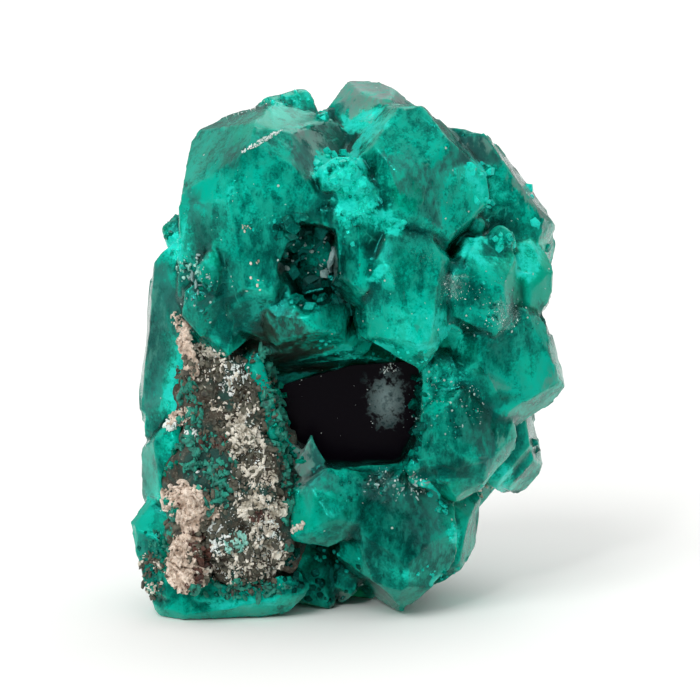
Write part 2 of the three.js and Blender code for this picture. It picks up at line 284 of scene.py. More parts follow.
@dataclass(frozen=True)
class Patch:
    """An oval patch on the crystals, by its place in the photograph.

    Args:
        tint: what it shows.
        x: pixel across of its middle.
        y: pixel down of its middle.
        wide: half its width in pixels.
        high: half its height in pixels.
        strength: how much of the tint, up to 1.
        turn: degrees by which the oval is turned, clockwise.
        spread: cosine of the angle from the middle's face at which a patch of painted reflection or highlight
            ends.
    """

    tint: Tint
    x: float
    y: float
    wide: float
    high: float
    strength: float = 1.0
    turn: float = 0.0
    spread: float = 0.86


# For each tint, rows of x, y, wide and high, then strength, turn and spread where they aren't the usual.
PATCH_ROWS = {
    Tint.TURQUOISE: (
        (336, 168, 26, 20), (356, 200, 22, 22), (392, 222, 14, 12, 0.8), (375, 273, 12, 5, 0.8, -20),
        (484, 192, 14, 20, 0.35), (517, 207, 9, 18, 0.9), (478, 168, 14, 8, 0.9), (178, 248, 12, 10),
        (178, 378, 11, 40, 0.9, 8), (160, 448, 20, 18, 0.35), (334, 348, 20, 7, 0.9, 14),
        (402, 350, 38, 7, 0.8), (452, 335, 13, 12, 0.8), (440, 385, 26, 24, 0.4), (454, 534, 5, 10),
        (434, 497, 4, 20, 1.0, -35), (290, 101, 28, 11, 0.4), (366, 122, 26, 15, 0.85),
        (268, 222, 24, 14, 0.5), (262, 300, 16, 26, 0.5), (240, 190, 34, 18, 0.3), (415, 325, 34, 22, 0.5),
        (475, 250, 16, 14, 0.7), (500, 480, 18, 14, 0.6), (250, 602, 50, 7, 0.5), (300, 560, 10, 6, 0.6),
        (425, 575, 30, 10, 0.5), (212, 340, 14, 12, 0.4), (385, 290, 10, 24, 0.4), (150, 490, 8, 16, 0.5),
        (300, 325, 16, 12, 0.4), (172, 244, 15, 14), (213, 262, 9, 13, 0.5), (318, 485, 30, 7, 0.5),
        (528, 262, 18, 20, 0.6), (400, 175, 26, 16, 0.25),
    ),
    Tint.EMERALD: (
        (213, 266, 11, 17), (322, 503, 38, 30, 0.5), (530, 275, 26, 36, 0.8), (165, 232, 10, 12, 0.7),
        (256, 122, 28, 12, 0.6), (400, 330, 40, 20, 0.4), (456, 500, 24, 22, 0.6), (268, 390, 8, 30, 0.4),
        (228, 150, 30, 20, 0.4), (500, 160, 20, 14, 0.3), (410, 190, 26, 22, 0.6),
    ),
    # Painted reflections of the pale surroundings on flat faces.
    Tint.GREY: (
        (298, 152, 40, 22, 0.95, 8), (200, 225, 7, 44, 0.8, -14, 0.4), (154, 340, 20, 78, 1.0, 4, 0.3),
        (198, 302, 15, 26, 0.7, 15), (398, 172, 42, 16, 0.8, 14), (433, 200, 12, 36, 0.7, -12),
        (418, 290, 13, 36, 0.6), (460, 292, 15, 15, 0.3), (428, 524, 18, 36, 1.0, -10, 0.3),
        (390, 492, 34, 16, 0.8, 10, 0.3), (486, 438, 11, 34, 0.9, 0, 0.3), (150, 540, 16, 26, 0.6),
        (240, 156, 16, 8, 0.9, -8), (306, 462, 18, 30, 1.0, 0, -1.0), (350, 105, 14, 12, 0.8),
        (496, 352, 30, 20, 0.3), (420, 340, 8, 24, 0.2), (476, 150, 30, 18, 1.0, 10, 0.5),
        (222, 158, 30, 14, 0.35, -15, 0.3),
    ),
    # Patches of painted shade.
    Tint.DARK: (
        (335, 512, 24, 20, 0.4, 30), (156, 345, 16, 64, 0.5, 4), (148, 462, 20, 34, 0.45),
        (286, 262, 12, 44, 0.5), (310, 214, 26, 8, 0.5), (312, 302, 24, 8, 0.5), (306, 246, 26, 30, 0.3),
        (344, 276, 9, 28, 0.9), (325, 578, 46, 30, 0.12), (448, 468, 16, 10, 0.9), (492, 398, 18, 9, 0.7),
        (472, 305, 20, 20, 0.2), (392, 534, 46, 40, 0.5), (395, 590, 40, 16, 0.4), (482, 230, 26, 12, 0.35),
        (462, 180, 7, 28, 0.3), (402, 246, 30, 10, 0.3), (222, 325, 40, 22, 0.4), (160, 560, 22, 16, 0.4),
        (336, 316, 26, 20, 0.4), (460, 415, 40, 34, 0.3), (440, 345, 40, 22, 0.3), (505, 360, 34, 34, 0.4),
        (392, 300, 26, 40, 0.25), (225, 150, 36, 22, 0.35), (392, 122, 32, 14, 0.2), (250, 310, 34, 20, 0.4),
        (280, 290, 20, 40, 0.3), (510, 370, 40, 26, 0.3), (230, 270, 24, 40, 0.3), (385, 375, 40, 10, 0.4),
        (322, 120, 12, 14, 0.5), (196, 250, 8, 10, 0.6),
    ),
    Tint.DUST: (
        (466, 305, 30, 30, 0.7), (450, 400, 38, 36, 0.9), (500, 330, 40, 34, 0.7), (400, 300, 30, 24, 0.5),
        (250, 265, 26, 40, 0.5), (395, 480, 36, 18, 0.9), (205, 300, 24, 30, 0.5), (325, 262, 14, 18, 0.7),
    ),
    # Brownish grey, in part painted shadow on the undersides of overhanging crystals.
    Tint.SMOKE: (
        (296, 350, 50, 22, 1.0, 14), (283, 332, 30, 22, 0.9, 25), (325, 232, 10, 12, 0.8),
        (330, 262, 9, 14, 0.9), (150, 575, 16, 20, 0.6),
    ),
    Tint.FROST: (
        (330, 490, 22, 12, 0.5), (150, 470, 18, 30, 0.5), (456, 284, 18, 14), (502, 318, 20, 13, 0.9),
        (425, 258, 20, 14, 0.6), (395, 482, 26, 12, 0.7), (365, 118, 14, 6, 0.9), (208, 300, 14, 20, 0.5),
        (465, 400, 26, 14, 0.5), (396, 274, 20, 12, 0.5),
    ),
    # Painted highlights on faces and slivers that mirror the light.
    Tint.PALE: (
        (150, 330, 12, 56, 0.4, 4, 0.3), (300, 132, 38, 5, 1.0, 27), (374, 93, 42, 14, 1.0, 0, 0.3),
        (480, 142, 18, 8, 0.6, -10), (521, 176, 54, 9, 1.0, 55, -1.0), (531, 428, 11, 30, 0.7, 8),
        (549, 380, 8, 20, 0.6, 15), (510, 382, 22, 8, 0.6, -10), (344, 598, 8, 8, 0.6),
        (425, 165, 14, 6, 0.4, 40), (440, 210, 5, 24, 0.4, -12), (392, 492, 12, 5, 0.5, 20),
        (500, 445, 5, 22, 0.4, 4), (302, 460, 12, 28, 0.75, 10, -1.0),
    ),
}
PATCHES = [Patch(tint, *row) for tint, rows in PATCH_ROWS.items() for row in rows]


@dataclass(frozen=True)
class DioptaseFinish:
    """Natural dioptase as it grew: glossy crystal faces over a clouded emerald body, cut by healed fractures.

    It gives the eye sharp glints on the faces and a glow from inside, milky and turquoise where the stone is
    shattered. Painted into its colour are shade that darkens the clefts, a glow where it is thin, highlights
    on its edges, and reflections that make a face grey where it mirrors the surroundings.
    """

    body: Stops = ((0.2, "00423a"), (0.55, "00786a"), (0.8, "00a890"), (1.0, "00dcc0"))  # from deep to milky
    curds: Stops = ((0.6, "00a890"), (0.78, "00dcc0"), (0.96, "2cffe4"))
    emerald: str = "00b086"
    # painted reflection of the pale surroundings
    mirror: str = "3f706e"
    # painted highlight
    pale: str = "98aca6"
    # brownish grey, in part painted shadow
    smoke: str = "35352f"
    # painted shade
    unlit: str = "001c1c"
    # painted highlight along the edges
    edge: str = "20d0b4"
    vein: str = "38d8be"
    speck: str = "dff5ec"
    rime: str = "b9dcd6"
    absorbed: str = "00ede0"
    absorption_per_m: float = 900.0
    see_through: float = 0.5
    ior: float = 1.66
    shine: float = 0.42
    shine_colour: str = "30e0d0"
    fine_level: float = -1.53  # takes the fine mottling to 0 on average
    tone_level: float = -0.37  # lower is darker
    glow: float = 0.35
    glow_reach: Triple = (0.7 * MM, 0.9 * MM, 0.8 * MM)
    milk_gain: float = 1.7  # how much brighter the shattered, milky stone is
    cloud_mm: float = 2.4
    mottle_mm: float = 0.75
    grain_mm: float = 0.18
    hair_mm: float = 0.288
    fleck_mm: float = 0.42
    shard_mm: float = 1.2
    chip_mm: float = 0.35
    fracture_mm: float = 1.5
    speck_mm: float = 0.55
    vein_mm: float = 2.6
    sway_mm: float = 1.4
    sway_reach: float = 1.6 * MM  # how far the veins bend
    drawn_scale: Triple = (1.0, 1.0, 0.5)  # growth streaks are twice as long as wide
    drawn_turn: Triple = (0.15, -0.2, 0.0)
    relief: float = 0.1 * MM

    def channels(self, tree: NodeTree, name: str) -> list[NodeSocket]:
        """The red, green and blue values of a stored attribute.

        Args:
            tree: the node tree.
            name: the attribute.

        Returns:
            Their three sockets.
        """
        stored = add_node(tree, "Attribute", attribute_name=name)
        parts = add_node(tree, "SeparateColor", {"Color": stored}).outputs
        return [parts["Red"], parts["Green"], parts["Blue"]]

    def broken(self, tree: NodeTree, weight: Feed, cloud: Feed, most: float) -> Feed:
        """A patch's weight with its border broken up by the clouding.

        Args:
            tree: the node tree.
            weight: the smooth weight of the patch.
            cloud: a noise with a mean of a half.
            most: the most that the patch covers.

        Returns:
            What feeds the broken weight.
        """
        ragged = add_node(tree, "Math", {0: cloud, 1: 2.2, 2: -1.1}, operation="MULTIPLY_ADD")
        ragged = add_node(tree, "Math", {0: weight, 1: ragged}, operation="ADD")
        eased = add_node(tree, "MapRange", {
            "Value": ragged, "From Min": 0.25, "From Max": 0.7, "To Min": 0.0, "To Max": most},
            interpolation_type="SMOOTHSTEP")
        inside = add_node(tree, "MapRange", {"Value": weight, "From Min": 0.0, "From Max": 0.3})
        return add_node(tree, "Math", {0: eased, 1: inside}, operation="MULTIPLY")

    def material(self) -> Material:
        """Makes the crystal material."""
        made = bpy.data.materials.new("natural_dioptase")
        tree = empty_tree(made)
        place = add_node(tree, "TexCoord").outputs["Object"]
        # Of these channels, grey and pale carry painted reflections and highlights, dark painted shade, smoke
        # in part painted shadow, open_share and groove painted shade of the clefts, thin a painted glow,
        # ridge a painted highlight on the edges, and wide painted shade in broad hollows.
        turquoise, emerald, grey = self.channels(tree, "tint")
        dark, dust, smoke = self.channels(tree, "state")
        open_share, thin, facet = self.channels(tree, "light")
        ridge, groove, clear = self.channels(tree, "relief")
        frost, pale, wide = self.channels(tree, "veil")
        drawn_out = add_node(tree, "Mapping", {
            "Vector": place, "Scale": self.drawn_scale, "Rotation": self.drawn_turn})
        cloud, mottle, grain, streak, hairs = (
            add_node(tree, "TexNoise", {
                "Vector": vector, "Scale": per_mm(pitch_mm), "Detail": detail, "Roughness": rough,
                "Distortion": bend}).outputs["Fac"]
            for vector, pitch_mm, detail, rough, bend in (
                (place, self.cloud_mm, 3.0, 0.5, 0.25), (place, self.mottle_mm, 8.0, 0.7, 0.2),
                (place, self.grain_mm, 3.0, 0.75, 0.0), (drawn_out, self.mottle_mm, 5.0, 0.7, 0.15),
                (place, self.hair_mm, 6.0, 0.8, 3.0)))
        flecks, shards, chips, cracks, cells = (
            add_node(tree, "TexVoronoi", {
                "Vector": vector, "Scale": per_mm(pitch_mm), "Randomness": 1.0}).outputs
            for vector, pitch_mm in (
                (place, self.fleck_mm), (drawn_out, self.shard_mm), (place, self.chip_mm),
                (place, self.fracture_mm), (place, self.speck_mm)))
        fleck, shard, chip, lot = (
            add_node(tree, "SeparateColor", {"Color": pieces["Color"]}).outputs[channel]
            for pieces, channel in ((flecks, "Green"), (shards, "Blue"), (chips, "Blue"), (cells, "Red")))

        # The body's tone: mottled, less so where it is clear, and lighter where it is shattered. It is
        # lighter where it is thin, a painted glow, lighter on edges, a painted highlight, and darker in broad
        # hollows and dark patches, painted shade.
        murk = add_node(tree, "Math", {0: clear, 1: -0.3, 2: cloud}, operation="MULTIPLY_ADD")
        murk = add_node(tree, "MapRange", {
            "Value": murk, "From Min": 0.15, "From Max": 0.5, "To Min": 0.72, "To Max": 1.0},
            interpolation_type="SMOOTHSTEP")
        fine = self.fine_level
        for value, share in ((mottle, 1.2), (streak, 0.6), (grain, 1.1), (fleck, 0.16)):
            fine = add_node(tree, "Math", {0: value, 1: share, 2: fine}, operation="MULTIPLY_ADD")
        tone = add_node(tree, "Math", {0: fine, 1: murk, 2: self.tone_level}, operation="MULTIPLY_ADD")
        for value, share in (
                (cloud, 1.3), (shard, 0.2), (chip, 0.1), (thin, 0.25), (facet, 0.42), (ridge, 0.1),
                (wide, -0.3), (turquoise, 0.25), (emerald, 0.14), (dark, -0.12)):
            tone = add_node(tree, "Math", {0: value, 1: share, 2: tone}, operation="MULTIPLY_ADD")
        colour = add_node(tree, "ValToRGB", {"Fac": tone}, stops=self.body)
        curds = add_node(tree, "Math", {0: grain, 1: 0.8, 2: mottle}, operation="MULTIPLY_ADD")
        curds = add_node(tree, "ValToRGB", {"Fac": curds}, stops=self.curds)

        # Healed fractures, bent pale lines that come and go, and a painted highlight along the edges.
        sway = add_node(tree, "TexNoise", {"Vector": place, "Scale": per_mm(self.sway_mm), "Detail": 3.0})
        sway = add_node(tree, "VectorMath", {0: sway.outputs["Color"], 3: self.sway_reach}, operation="SCALE")
        bent = add_node(tree, "VectorMath", {0: place, 1: sway}, operation="ADD")
        seam = add_node(tree, "TexVoronoi", {
            "Vector": bent, "Scale": per_mm(self.vein_mm), "Randomness": 1.0}, feature="DISTANCE_TO_EDGE")
        veins = add_node(tree, "MapRange", {
            "Value": seam, "From Min": 0.0, "From Max": 0.035, "To Min": 0.8, "To Max": 0.0})
        some = add_node(tree, "MapRange", {"Value": streak, "From Min": 0.48, "From Max": 0.62})
        veins = add_node(tree, "Math", {0: veins, 1: some}, operation="MULTIPLY")
        worn = add_node(tree, "MapRange", {"Value": streak, "From Min": 0.45, "From Max": 0.65})
        worn = add_node(tree, "Math", {0: ridge, 1: worn}, operation="MULTIPLY")

        # Painted shade: clefts, grooves and dark patches are dimmed, and shattered stone gathers light.
        lit = add_node(tree, "MapRange", {
            "Value": open_share, "From Min": 0.05, "From Max": 0.7, "To Min": 0.2, "To Max": 1.0})
        for value, share in ((groove, -0.6), (dark, -0.62)):
            dimmed = add_node(tree, "Math", {0: value, 1: share, 2: 1.0}, operation="MULTIPLY_ADD")
            lit = add_node(tree, "Math", {0: lit, 1: dimmed}, operation="MULTIPLY")
        milky = add_node(tree, "Math", {0: turquoise, 1: 0.8}, operation="MULTIPLY")
        lit = add_node(tree, "Mix", {0: milky, 2: lit, 3: self.milk_gain}, data_type="FLOAT")

        # Pale specks and a rime of fine hairs on the surface.
        odds = add_node(tree, "MapRange", {
            "Value": dust, "From Min": 0.0, "From Max": 1.0, "To Min": 0.97, "To Max": 0.6})
        chosen = add_node(tree, "Math", {0: lot, 1: odds}, operation="GREATER_THAN")
        reach = add_node(tree, "Math", {0: grain, 1: 0.3}, operation="MULTIPLY")
        small = add_node(tree, "Math", {0: cells["Distance"], 1: reach}, operation="LESS_THAN")
        specks = add_node(tree, "Math", {0: chosen, 1: small}, operation="MULTIPLY")
        rime = add_node(tree, "Math", {0: frost, 1: 0.22, 2: hairs}, operation="MULTIPLY_ADD")
        rime = add_node(tree, "MapRange", {
            "Value": rime, "From Min": 0.68, "From Max": 0.8, "To Min": 0.0, "To Max": 0.9})
        rime = add_node(tree, "Math", {0: rime, 1: frost}, operation="MULTIPLY")

        # The layers: fractures, emerald, milky turquoise, painted reflection, painted highlight, painted
        # shade, brownish smoke that is in part painted shadow, painted edge highlight, the painted light and
        # shade of lit, pale dust specks and rime.
        for weight, over, blend in (
                (veins, linear(self.vein), "MIX"),
                (self.broken(tree, emerald, mottle, 0.5), linear(self.emerald), "MIX"),
                (self.broken(tree, turquoise, mottle, 0.95), curds, "MIX"),
                (self.broken(tree, grey, streak, 0.8), linear(self.mirror), "MIX"),
                (self.broken(tree, pale, streak, 0.9), linear(self.pale), "MIX"),
                (self.broken(tree, dark, mottle, 0.6), linear(self.unlit), "MIX"),
                (self.broken(tree, smoke, mottle, 0.95), linear(self.smoke), "MIX"),
                (worn, linear(self.edge), "MIX"), (1.0, lit, "MULTIPLY"),
                (specks, linear(self.speck), "MIX"), (rime, linear(self.rime), "MIX")):
            colour = add_node(tree, "Mix", {0: weight, 6: colour, 7: over}, data_type="RGBA",
                              blend_type=blend).outputs[2]
        relief = mottle
        for value, share in ((cracks["Distance"], 0.8), (grain, 0.3)):
            relief = add_node(tree, "Math", {0: value, 1: share, 2: relief}, operation="MULTIPLY_ADD")
        bump = add_node(tree, "Bump", {"Height": relief, "Strength": 0.3, "Distance": self.relief})
        gloss = add_node(tree, "Math", {0: clear, 1: -0.14, 2: mottle}, operation="MULTIPLY_ADD")
        gloss = add_node(tree, "MapRange", {
            "Value": gloss, "From Min": 0.3, "From Max": 0.7, "To Min": 0.04, "To Max": 0.2})
        shader = add_node(tree, "BsdfPrincipled", {
            "Base Color": colour, "Roughness": gloss, "IOR": self.ior, "Specular IOR Level": self.shine,
            "Specular Tint": linear(self.shine_colour), "Transmission Weight": self.see_through,
            "Subsurface Weight": self.glow, "Subsurface Radius": self.glow_reach, "Subsurface Scale": 1.0,
            "Normal": bump})
        inside = add_node(tree, "VolumeAbsorption", {
            "Color": linear(self.absorbed), "Density": self.absorption_per_m})
        add_node(tree, "OutputMaterial", {"Surface": shader, "Volume": inside})
        return made


@dataclass(frozen=True)
class RockFinish:
    """Host rock, broken: dark brown to grey-green, rough and dull.

    It gives the eye no glints, only a crumbly surface with pale mineral grains and one teal stain.
    """

    stone: Stops = ((0.32, "211a14"), (0.5, "43382c"), (0.64, "62665a"), (0.8, "b9b19d"))
    green: str = "134c44"
    grain: str = "b9b19d"
    teal: str = "174a45"
    teal_middle: Triple = (-9.9 * MM, -6.0 * MM, 10.6 * MM)
    teal_half: Triple = (2.5 * MM, 7.0 * MM, 4.2 * MM)
    patch_mm: float = 2.4
    mottle_mm: float = 0.7
    grain_mm: float = 0.25
    relief: float = 0.25 * MM

    def material(self) -> Material:
        """Makes the rock material."""
        made = bpy.data.materials.new("brown_host_rock")
        tree = empty_tree(made)
        place = add_node(tree, "TexCoord").outputs["Object"]
        patch, mottle, grain = (
            add_node(tree, "TexNoise", {
                "Vector": place, "Scale": per_mm(pitch_mm), "Detail": detail, "Roughness": rough,
                "Distortion": bend}).outputs["Fac"]
            for pitch_mm, detail, rough, bend in (
                (self.patch_mm, 3.0, 0.5, 0.5), (self.mottle_mm, 7.0, 0.75, 0.0),
                (self.grain_mm, 4.0, 0.7, 0.0)))
        stone = add_node(tree, "ValToRGB", {"Fac": mottle}, stops=self.stone)
        greened, grained = (
            add_node(tree, "MapRange", {
                "Value": value, "From Min": low, "From Max": high, "To Min": 0.0, "To Max": most})
            for value, low, high, most in ((patch, 0.48, 0.6, 0.85), (grain, 0.6, 0.68, 0.7)))
        stained = oval_stain(tree, place, self.teal_middle, self.teal_half, mottle, 3.0, (2.0, 2.8), "LINEAR")
        for weight, over in ((greened, self.green), (grained, self.grain), (stained, self.teal)):
            stone = add_node(tree, "Mix", {0: weight, 6: stone, 7: linear(over)}, data_type="RGBA").outputs[2]
        relief = add_node(tree, "Math", {0: grain, 1: 0.5, 2: mottle}, operation="MULTIPLY_ADD")
        bump = add_node(tree, "Bump", {"Height": relief, "Strength": 0.9, "Distance": self.relief})
        shader = add_node(tree, "BsdfPrincipled", {
            "Base Color": stone, "Roughness": 0.85, "IOR": 1.5, "Normal": bump})
        add_node(tree, "OutputMaterial", {"Surface": shader})
        return made


@dataclass(frozen=True)
class CrumbFinish:
    """Fine-grained calcite or stone, crumbled: matt, and a little translucent.

    It gives the eye grains that each have a shade of their own, soft at their edges.
    """

    name: str
    dull: str
    light: str
    pitch_mm: float = 0.6
    relief: float = 0.1 * MM
    glow_reach: Triple = (0.3 * MM, 0.25 * MM, 0.2 * MM)

    def material(self) -> Material:
        """Makes the crumb material."""
        made = bpy.data.materials.new(self.name)
        tree = empty_tree(made)
        place = add_node(tree, "TexCoord").outputs["Object"]
        shade = add_node(tree, "TexNoise", {
            "Vector": place, "Scale": per_mm(self.pitch_mm), "Detail": 5.0, "Roughness": 0.7}).outputs["Fac"]
        colour = add_node(tree, "ValToRGB", {"Fac": shade}, stops=((0.35, self.dull), (0.6, self.light)))
        bump = add_node(tree, "Bump", {"Height": shade, "Strength": 0.6, "Distance": self.relief})
        shader = add_node(tree, "BsdfPrincipled", {
            "Base Color": colour, "Roughness": 0.7, "IOR": 1.6, "Subsurface Weight": 0.15,
            "Subsurface Radius": self.glow_reach, "Subsurface Scale": 1.0, "Normal": bump})
        add_node(tree, "OutputMaterial", {"Surface": shader})
        return made


@dataclass(frozen=True)
class DarkFaceFinish:
    """A smooth crystal face over the deep, unlit inside.

    It gives the eye near black without a glint, painted shade of the unlit hollow, with one clouded grey
    patch.
    """

    # near black: painted shade of the unlit hollow
    base: str = "07030a"
    clouded: Stops = ((0.35, "263a3c"), (0.62, "9db4b4"))
    veil_middle: Triple = (2.95 * MM, -4.3 * MM, 15.9 * MM)
    veil_half: Triple = (1.35 * MM, 2.0 * MM, 2.1 * MM)
    mottle_mm: float = 0.8
    relief: float = 0.08 * MM

    def material(self) -> Material:
        """Makes the dark face's material."""
        made = bpy.data.materials.new("dark_glossy_face")
        tree = empty_tree(made)
        place = add_node(tree, "TexCoord").outputs["Object"]
        mottle = add_node(tree, "TexNoise", {
            "Vector": place, "Scale": per_mm(self.mottle_mm), "Detail": 7.0, "Roughness": 0.7}).outputs["Fac"]
        veil = oval_stain(tree, place, self.veil_middle, self.veil_half, mottle, 4.5, (2.5, 3.4),
                          "SMOOTHSTEP")
        clouded = add_node(tree, "ValToRGB", {"Fac": mottle}, stops=self.clouded)
        colour = add_node(tree, "Mix", {0: veil, 6: linear(self.base), 7: clouded},
                          data_type="RGBA").outputs[2]
        bump = add_node(tree, "Bump", {"Height": mottle, "Strength": 0.3, "Distance": self.relief})
        shader = add_node(tree, "BsdfPrincipled", {
            "Base Color": colour, "Roughness": 0.3, "IOR": 1.45, "Specular IOR Level": 0.06, "Normal": bump})
        add_node(tree, "OutputMaterial", {"Surface": shader})
        return made


def taken(shape: bmesh.types.BMesh, name: str) -> Mesh:
    """Turns a shape into a mesh of its own and frees the shape.

    Args:
        shape: the shape.
        name: the mesh's name.

    Returns:
        The mesh.
    """
    mesh = bpy.data.meshes.new(name)
    shape.to_mesh(mesh)
    shape.free()
    return mesh


def new_object(name: str, mesh: Mesh, material: Material) -> Object:
    """Makes a piece that rides on the specimen's one body.

    Args:
        name: the piece's name.
        mesh: its mesh, already in place.
        material: its finish.

    Returns:
        The object.
    """
    mesh.materials.clear()
    mesh.materials.append(material)
    piece = bpy.data.objects.new(name, mesh)
    bpy.context.scene.collection.objects.link(piece)
    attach(piece, "root")
    LOG.info("%s: %d faces", name, len(mesh.polygons))
    return piece


def remeshed(source: Mesh, voxel: float, share: int = 0) -> Mesh:
    """An evenly meshed copy of a closed mesh, with its corners a voxel round.

    Args:
        source: a closed mesh, which is left alone.
        voxel: the size of the new faces in metres.
        share: the most triangles to keep, by joining the ones on flat faces, or 0 for all.

    Returns:
        The new mesh.
    """
    work = bmesh.new()
    work.from_mesh(source)
    bmesh.ops.remove_doubles(work, verts=work.verts, dist=TOUCHING)
    merged = taken(work, "merged")
    carrier = bpy.data.objects.new("carrier", merged)
    bpy.context.scene.collection.objects.link(carrier)
    modifier = carrier.modifiers.new("even", "REMESH")
    modifier.mode = "VOXEL"
    modifier.voxel_size = voxel
    relax = carrier.modifiers.new("relax", "SMOOTH")
    relax.iterations = 1
    if share:
        graph = bpy.context.evaluated_depsgraph_get()
        made = 2 * len(carrier.evaluated_get(graph).data.polygons)
        fewer = carrier.modifiers.new("fewer", "DECIMATE")
        fewer.ratio = min(1.0, share / made)
    graph = bpy.context.evaluated_depsgraph_get()
    even = bpy.data.meshes.new_from_object(carrier.evaluated_get(graph))
    bpy.data.objects.remove(carrier)
    bpy.data.meshes.remove(merged)
    work = bmesh.new()
    work.from_mesh(even)
    bmesh.ops.recalc_face_normals(work, faces=work.faces)
    work.to_mesh(even)
    work.free()
    return even


def coordinates(mesh: Mesh, what: str = "co") -> np.ndarray:
    """Reads the places or the normals of a mesh's vertices.

    Args:
        mesh: the mesh.
        what: "co" for the places or "normal" for the normals.

    Returns:
        They, as an n by 3 array.
    """
    values = np.empty(len(mesh.vertices) * 3)
    mesh.vertices.foreach_get(what, values)
    return values.reshape(-1, 3)


def reshape(mesh: Mesh, places: np.ndarray) -> None:
    """Moves a mesh's vertices to new places, and shades its faces smooth.

    Args:
        mesh: the mesh, which is changed.
        places: the new places, n by 3.
    """
    mesh.vertices.foreach_set("co", places.ravel())
    mesh.update()
    mesh.polygons.foreach_set("use_smooth", [True] * len(mesh.polygons))


def store(mesh: Mesh, name: str, *values: np.ndarray) -> None:
    """Stores three values for each vertex as a colour attribute.

    Args:
        mesh: the mesh that gets it.
        name: the attribute's name.
        values: its red, green and blue, an array each.
    """
    rows = np.stack([*values, np.ones(len(mesh.vertices))], axis=1)
    layer = mesh.color_attributes.new(name=name, type="FLOAT_COLOR", domain="POINT")
    layer.data.foreach_set("color", rows.ravel())


def hollowness(mesh: Mesh, places: np.ndarray, normals: np.ndarray, rounds: int) -> np.ndarray:
    """How far each vertex lies below the smoothed surface: above 0 in grooves, below 0 on edges.

    Args:
        mesh: the mesh, for its edges.
        places: its vertices.
        normals: their normals.
        rounds: how many times the surface is smoothed.

    Returns:
        The depth in metres.
    """
    ends = np.empty(len(mesh.edges) * 2, dtype=np.int64)
    mesh.edges.foreach_get("vertices", ends)
    ends = ends.reshape(-1, 2)
    first = np.concatenate([ends[:, 0], ends[:, 1]])
    second = np.concatenate([ends[:, 1], ends[:, 0]])
    count = np.bincount(first, minlength=len(places))
    smooth = places.copy()
    for _ in range(rounds):
        smooth = np.stack([np.bincount(first, weights=smooth[second, axis], minlength=len(places)) / count
                           for axis in range(3)], axis=1)
    return ((smooth - places) * normals).sum(axis=1)


def surface_tree(*meshes: Mesh) -> BVHTree:
    """Makes one search tree over the faces of several meshes.

    Args:
        meshes: the meshes.

    Returns:
        The tree.
    """
    points, faces = [], []
    for mesh in meshes:
        start = len(points)
        points += [v.co for v in mesh.vertices]
        faces += [tuple(start + i for i in p.vertices) for p in mesh.polygons]
    return BVHTree.FromPolygons(points, faces)


def add_copy(shape: bmesh.types.BMesh, variant: Mesh, put: Matrix) -> None:
    """Adds a moved copy of a small mesh.

    Args:
        shape: the shape that gets it.
        variant: the small mesh, which is left alone.
        put: where the copy goes.
    """
    moved = variant.copy()
    moved.transform(put)
    shape.from_mesh(moved)
    bpy.data.meshes.remove(moved)


def cut_and_close(shape: bmesh.types.BMesh, point: Vector, outward: Vector, nearest: float) -> None:
    """Cuts a closed shape by a plane, takes off what lies outward, and closes the cut.

    Args:
        shape: the shape.
        point: a point of the plane.
        outward: the direction to the side that goes.
        nearest: how close to the plane a corner counts as on it.
    """
    bmesh.ops.bisect_plane(shape, geom=shape.verts[:] + shape.edges[:] + shape.faces[:], plane_co=point,
                           plane_no=outward, clear_outer=True, dist=nearest)
    bmesh.ops.holes_fill(shape, edges=[e for e in shape.edges if e.is_boundary], sides=0)


def room(place: Vector, box: Box) -> float:
    """How far a place lies inside a box, in metres."""
    return min(min(p - low, high - p) for p, low, high in zip(place, *box))


def pixel_in_oval(spot: "CrumbField | DruseField", rng: Random) -> tuple[float, float]:
    """Chooses a pixel somewhere in a field's oval.

    Args:
        spot: the field.
        rng: the source of chance.

    Returns:
        The pixel across and down.
    """
    angle = math.radians(spot.turn)
    out, way = math.sqrt(rng.random()), rng.uniform(0, math.tau)
    along, over = out * math.cos(way) * spot.wide, out * math.sin(way) * spot.high
    return (spot.x + along * math.cos(angle) - over * math.sin(angle),
            spot.y + along * math.sin(angle) + over * math.cos(angle))


